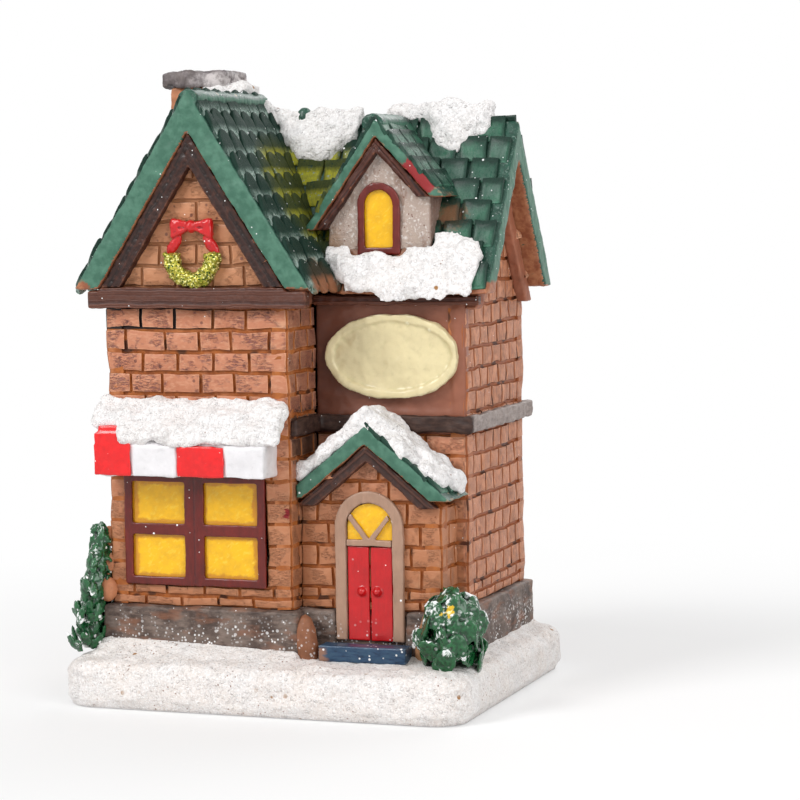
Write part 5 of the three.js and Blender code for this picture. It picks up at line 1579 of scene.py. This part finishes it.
class VILLAGE_OT_shop(bpy.types.Operator):
    """Builds the shop window's frame and the awning."""

    bl_idname = "village.shop"
    bl_label = "Shop window and awning"

    def execute(self, context):
        self.window()
        self.canopy()
        gloss = {"roughness": 0.25, "coat": 0.5, "relief": 0.03}
        shades = {"dark": 0.8, "light": 1.3, "sparkle": 0.06}
        red = resin("awning_red_resin", colours().awning_red, **shades, **gloss)
        middle = copy_of("middle_red_panel", "awning_red_panel_middle")
        left = self.left_panel("left_red_panel", "awning_red_panel_left")
        for panel, node in (
            (middle, "awning_red_panel_middle"),
            (left, "awning_red_panel_left"),
        ):
            cast(panel, 0.7, 5, ((4, 0.6),))
            finish(panel, red, "red_gloss_resin", node)
        return {"FINISHED"}

    @staticmethod
    def window():
        """The frame of four lights with a groove along its middle bar."""
        low, high = [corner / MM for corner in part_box("shop_window_frame")]
        bars = copy_of("shop_window_bars", "shop_window_frame")
        middle = (low.x + high.x) / 2
        start = (middle - 0.2, low.y - 1, low.z - 1)
        end = (middle + 0.2, low.y + 0.35, high.z + 1)
        carve(bars, block("mullion_groove", start, end))
        cast(bars, 0.6, 2, ((3, 0.25), (0.9, 0.08)))
        finish(bars, frame_paint(), "window_frame_resin", "shop_window_frame")

    @staticmethod
    def canopy():
        """The white awning with a white flap on both sides of the middle red one."""
        gloss = {"roughness": 0.3, "coat": 0.3, "relief": 0.03}
        white = resin("white_gloss_resin", "E2E0E2", dark=0.84, light=1.08, **gloss)
        canopy = copy_of("awning_canopy", "awning")
        low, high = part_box("awning")
        narrow(canopy, high.x, 0.973)
        narrow(canopy, low.x, 0.965)
        low, high = [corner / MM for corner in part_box("awning_red_panel_middle")]
        width = high.x - low.x
        parts = [canopy]
        for start, end in ((low.x - width, low.x), (high.x, high.x + width - 1)):
            near = (start + 0.25, low.y + 0.05, low.z)
            parts.append(block("white_panel", near, (end - 0.25, high.y + 0.6, high.z)))
        canopy = join(parts, "awning_canopy")
        cast(canopy, 0.9, 4, ((5, 0.7), (1.4, 0.15)))
        finish(canopy, white, "white_gloss_resin", "awning")

    @staticmethod
    def left_panel(name, node):
        """The red flap at the left, with the folds above it."""
        low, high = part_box(node)
        x, y, z = low.x / MM, low.y / MM, high.z / MM
        upper = block("upper", (x + 0.2, y + 0.1, z - 1), (x + 7.6, y + 4, z + 1.9))
        fold = block("fold", (x + 0.8, y + 0.4, z + 1.2), (x + 6.2, y + 4, z + 3.1))
        panel = join([copy_of(name, node), upper, fold], name)
        narrow(panel, high.x, 0.84)
        return panel


class VILLAGE_OT_doorway(bpy.types.Operator):
    """Builds the door frame, the leaves, the fanlight bars and the step."""

    bl_idname = "village.doorway"
    bl_label = "Doorway"

    def execute(self, context):
        gloss = {"roughness": 0.4, "coat": 0.2, "stroke": (2, 1, 0.5)}
        shades = {"dark": 0.75, "light": 1.15, "edge": "C0A898", "groove": "6A5040"}
        taupe = resin("door_frame_resin", colours().taupe, **shades, **gloss)
        red = door_paint()
        for name, node, material, slot, grain in (
            ("door_surround", "door_frame", taupe, "door_frame_resin", 0.7),
            ("left_leaf", "left_door_leaf", red, "red_gloss_resin", 0.55),
            ("right_leaf", "right_door_leaf", red, "red_gloss_resin", 0.55),
            ("fan_bars", "fanlight_bars", taupe, "door_frame_resin", 0.5),
            ("door_sill_step", "doorstep", step_paint(), "doorstep_resin", 0.8),
        ):
            dress(name, node, material, slot, grain, 2, ((3, 0.3),))
        return {"FINISHED"}


class VILLAGE_OT_sign(bpy.types.Operator):
    """Builds the blank oval sign."""

    bl_idname = "village.sign"
    bl_label = "Blank sign"

    def execute(self, context):
        gloss = {"roughness": 0.3, "coat": 0.35, "sparkle": 0.0, "relief": 0.03}
        shades = {"dark": 0.9, "light": 1.06, "edge": "F0EACB", "groove": "C4BA8C"}
        cream = resin("sign_resin", colours().cream, **shades, **gloss)
        lumps = ((4, 0.9), (1.6, 0.25))
        dress("blank_sign", "oval_sign", cream, "sign_resin", 0.9, 3, lumps)
        return {"FINISHED"}


class VILLAGE_OT_wreath(bpy.types.Operator):
    """Builds the wreath and its bow."""

    bl_idname = "village.wreath"
    bl_label = "Wreath and bow"

    def execute(self, context):
        ring = copy_of("glitter_ring", "wreath")
        ring.location.x += WREATH_SHIFT * MM
        settle(ring)
        swell(ring, 0.2)
        cast(ring, 0.7, 1, ((1.2, 1.0), (0.5, 0.7)))
        finish(ring, wreath_paint(), "wreath_resin", "wreath")
        low, high = [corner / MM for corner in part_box("wreath_bow")]
        x = (low.x + high.x) / 2 + WREATH_SHIFT
        y = high.y - 0.6
        z = (low.z + high.z) / 2
        parts = [ball("bow_knot", (x, y - 0.5, z + 1.2), (0.95, 1.0, 1.15))]
        for side in (-1, 1):
            parts.append(self.loop(x, y, z, side))
            turn = (0, side * math.radians(-38), 0)
            parts.append(ball("bow_tail", (x + side * 3.3, y, z - 1.8), (1.0, 0.7, 2.0), turn))
        bow = join(parts, "ribbon_bow")
        cast(bow, 0.5, 2, ((1.3, 0.5),))
        finish(bow, door_paint(), "red_gloss_resin", "wreath_bow")
        return {"FINISHED"}

    @staticmethod
    def loop(x, y, z, side):
        """One loop of the bow, wider at its outer end and dented in its middle."""
        corners = {}
        for across, out in enumerate((x + side * 0.3, x + side * 3.7)):
            for back, deep in enumerate((y - 0.9, y + 0.6)):
                key = across if side > 0 else 1 - across
                corners[(key, back, 0)] = (out, deep, z + (0.5, -0.9)[across])
                corners[(key, back, 1)] = (out, deep, z + (1.9, 2.6)[across])
        loop = wedge("bow_loop", corners)
        modify(loop, "BEVEL", width=0.45 * MM, segments=3, limit_method="NONE")
        return carve(loop, ball("dent", (x + side * 1.7, y - 1.1, z + 1.0), (0.9, 0.6, 0.3)))


class VILLAGE_OT_planting(bpy.types.Operator):
    """Builds the evergreen tree and the holly bush."""

    bl_idname = "village.planting"
    bl_label = "Tree and bush"

    def execute(self, context):
        draw = random.Random(21)
        scale = (0.8, 0.35, 1.7)
        self.plant("evergreen", "evergreen_tree", 130, 1.3, draw, scale, 0.5, 2.4, 0.22)
        draw = random.Random(22)
        curled = (1.9, 0.45, 2.6)
        self.plant("holly", "holly_bush", 38, 4, draw, curled, 1.8)
        stem = ball("holly_stem", (25.3, -17.4, 12.4), (1.3, 1.3, 6.0), (0, math.radians(14), 0))
        mould("holly_stem", [stem], resin("stem_resin", "B0805C", groove="6A4028"), 0.8)
        return {"FINISHED"}

    @staticmethod
    def plant(name, node, count, bulge, draw, radii, spread, lean=0.0, lobes=0.08):
        """A cone or dome of leaves that lie on it like scales and curl away from it.

        The bulge sets how full its upper half is, the spread how far leaves turn sideways,
        the lean how far its top moves along X, and the lobes how deep its waist is.
        """
        low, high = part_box(node)
        centre = (low + high) / 2
        half = (high - low) / 2
        leaf = ball("leaf", (0, 0, 0), radii, rings=8)
        leaves = []
        for index in range(count):
            share = (index + 0.5) / count
            angle = index * GOLDEN_ANGLE
            rise = low.z + (high.z - low.z) * (0.05 + 0.86 * share)
            wide = (1 - share**bulge) ** 0.6 * 0.88 * (1 + lobes * math.sin(share * 27))
            outward = Vector((half.x * math.cos(angle), half.y * math.sin(angle), 0)) * wide
            outward.x += lean * (share - 0.3) * MM
            facing = Vector((math.cos(angle), math.sin(angle), share**1.5 * 2)).normalized()
            around = facing.cross(Vector((0, 0, 1))).normalized()
            down = around.cross(facing)
            along = (down + around * stray(draw, spread)).normalized()
            along = (along + facing * draw.uniform(0.2, 1.1)).normalized()
            across = facing.cross(along).normalized()
            thin = along.cross(across)
            basis = Matrix((across, thin, along)).transposed().to_4x4()
            place = Vector((centre.x, centre.y, rise)) + outward
            leaves.append(place_copy(leaf, Matrix.Translation(place) @ basis))
        bpy.data.objects.remove(leaf)
        core = copy_of(name, node)
        swell(core, -1.2)
        piece = join([core, *leaves], name)
        cast(piece, 0.65, 1, ((1.2, 0.5), (0.5, 0.2)))
        finish(piece, leaf_paint(), "leaf_resin", node)


class VILLAGE_OT_light_module(bpy.types.Operator):
    """Paints the panes and the parts of the light module."""

    bl_idname = "village.light_module"
    bl_label = "Panes and light module"

    def execute(self, context):
        finishes = {
            "window_film": window_paint(),
            "black_plastic": plastic("black_plastic", "232325", 0.5),
            "switch_plastic": plastic("switch_plastic", "E8E8E4", 0.4),
            "steel": plastic("steel", "C4C6C8", 0.28, 1.0),
            "wire_sleeve": plastic("wire_sleeve", "1A1A1A", 0.55),
            "lamp_epoxy": plastic("lamp_epoxy", "F4EFD8", 0.08, alpha=0.7, grain=0.003),
        }
        for row in frame["record"]["subparts"]:
            if row["material_slot"] in finishes:
                materials = frame["nodes"][row["node"]].data.materials
                materials.clear()
                materials.append(finishes[row["material_slot"]])
        return {"FINISHED"}


# Floor, light and camera


class VILLAGE_OT_stage(bpy.types.Operator):
    """Sets the floor, the lamps, the background and the camera."""

    bl_idname = "village.stage"
    bl_label = "Stage"

    def execute(self, context):
        context.scene.view_settings.view_transform = "Standard"
        self.floor()
        self.background()
        for lamp in LAMPS:
            self.lamp(*lamp)
        self.camera()
        return {"FINISHED"}

    @staticmethod
    def floor():
        """A pale floor that keeps the shadow and turns white further away."""
        activate()
        bpy.ops.mesh.primitive_plane_add(size=8, location=(0, 0, -0.0002))
        floor = bpy.context.object
        floor.name = "floor"
        paint = Paint("floor_white", (0.86, 0.86, 0.86))
        paint.set(Base_Color=paint.shade, Roughness=0.9)
        white = paint.add("ShaderNodeEmission", None, {0: (1, 1, 1), 1: 1.0})
        away = paint.vector("DISTANCE", paint.ruler, (25, 10, 0), 1)
        lost = paint.seen_straight() * (away.rise(60, 190) * 0.6 + 0.4)
        inputs = {0: lost, 1: paint.surface.outputs[0], 2: white.outputs[0]}
        mixed = paint.add("ShaderNodeMixShader", None, inputs)
        paint.feed(paint.output.inputs[0], mixed.outputs[0])
        floor.data.materials.append(paint.material)

    @staticmethod
    def background():
        """Soft white light all round, and plain white where the camera sees it."""
        world = bpy.data.worlds.new("studio")
        bpy.context.scene.world = world
        nodes = Nodes(world)
        dim, white = [
            nodes.add("ShaderNodeBackground", None, {0: (1, 1, 1), 1: strength}).outputs[0]
            for strength in (0.32, 1.0)
        ]
        inputs = {0: nodes.seen_straight(), 1: dim, 2: white}
        mixed = nodes.add("ShaderNodeMixShader", None, inputs)
        nodes.add("ShaderNodeOutputWorld", None, {0: mixed.outputs[0]})

    @staticmethod
    def lamp(name, place, size, power):
        """A square soft lamp that looks at the house."""
        activate()
        bpy.ops.object.light_add(type="AREA", location=mm(*place))
        lamp = bpy.context.object
        lamp.name = name
        lamp.data.size = size * MM
        lamp.data.energy = power
        aim = mm(0, 0, 45) - lamp.location
        lamp.rotation_euler = aim.to_track_quat("-Z", "Y").to_euler()

    @staticmethod
    def camera():
        """The camera that fits the photographed corners."""
        activate()
        bpy.ops.object.camera_add(location=mm(*CAMERA_PLACE))
        camera = bpy.context.object
        camera.name = "camera"
        forward = Vector(CAMERA_FORWARD).normalized()
        right = forward.cross(Vector((0, 0, 1))).normalized()
        up = right.cross(forward)
        upright = Matrix((right, up, -forward)).transposed()
        roll = Matrix.Rotation(math.radians(CAMERA_ROLL), 3, "Z")
        camera.rotation_euler = (upright @ roll).to_euler()
        camera.data.sensor_width = SENSOR_WIDTH
        camera.data.lens = FOCAL_PIXELS * SENSOR_WIDTH / IMAGE_SIZE
        camera.data.clip_start = 0.01
        bpy.context.scene.camera = camera


PIECES = (
    VILLAGE_OT_stage,
    VILLAGE_OT_base,
    VILLAGE_OT_walls,
    VILLAGE_OT_stonework,
    VILLAGE_OT_roofs,
    VILLAGE_OT_timber,
    VILLAGE_OT_dormer,
    VILLAGE_OT_snow,
    VILLAGE_OT_shop,
    VILLAGE_OT_doorway,
    VILLAGE_OT_sign,
    VILLAGE_OT_wreath,
    VILLAGE_OT_planting,
    VILLAGE_OT_light_module,
)


class VILLAGE_PT_pieces(bpy.types.Panel):
    """Lists the pieces of the house."""

    bl_idname = "VILLAGE_PT_pieces"
    bl_label = "Village House"
    bl_space_type = "VIEW_3D"
    bl_region_type = "UI"
    bl_category = "Village House"

    def draw(self, context):
        for group in (sizes(), colours()):
            for name in group.__annotations__:
                self.layout.prop(group, name)
        for piece in PIECES:
            self.layout.operator(piece.bl_idname)


CLASSES = (VillageHouseSizes, VillageHouseColours, *PIECES, VILLAGE_PT_pieces)


def register():
    """Adds the classes and the settings."""
    for item in CLASSES:
        bpy.utils.register_class(item)
    bpy.types.Scene.village_house_sizes = PointerProperty(type=VillageHouseSizes)
    bpy.types.Scene.village_house_colours = PointerProperty(type=VillageHouseColours)


def unregister():
    """Removes the classes and the settings."""
    del bpy.types.Scene.village_house_colours
    del bpy.types.Scene.village_house_sizes
    for item in reversed(CLASSES):
        bpy.utils.unregister_class(item)


def main():
    """Builds every piece in order."""
    register()
    for piece in PIECES:
        group, name = piece.bl_idname.split(".")
        getattr(getattr(bpy.ops, group), name)()


if __name__ == "__main__":
    main()
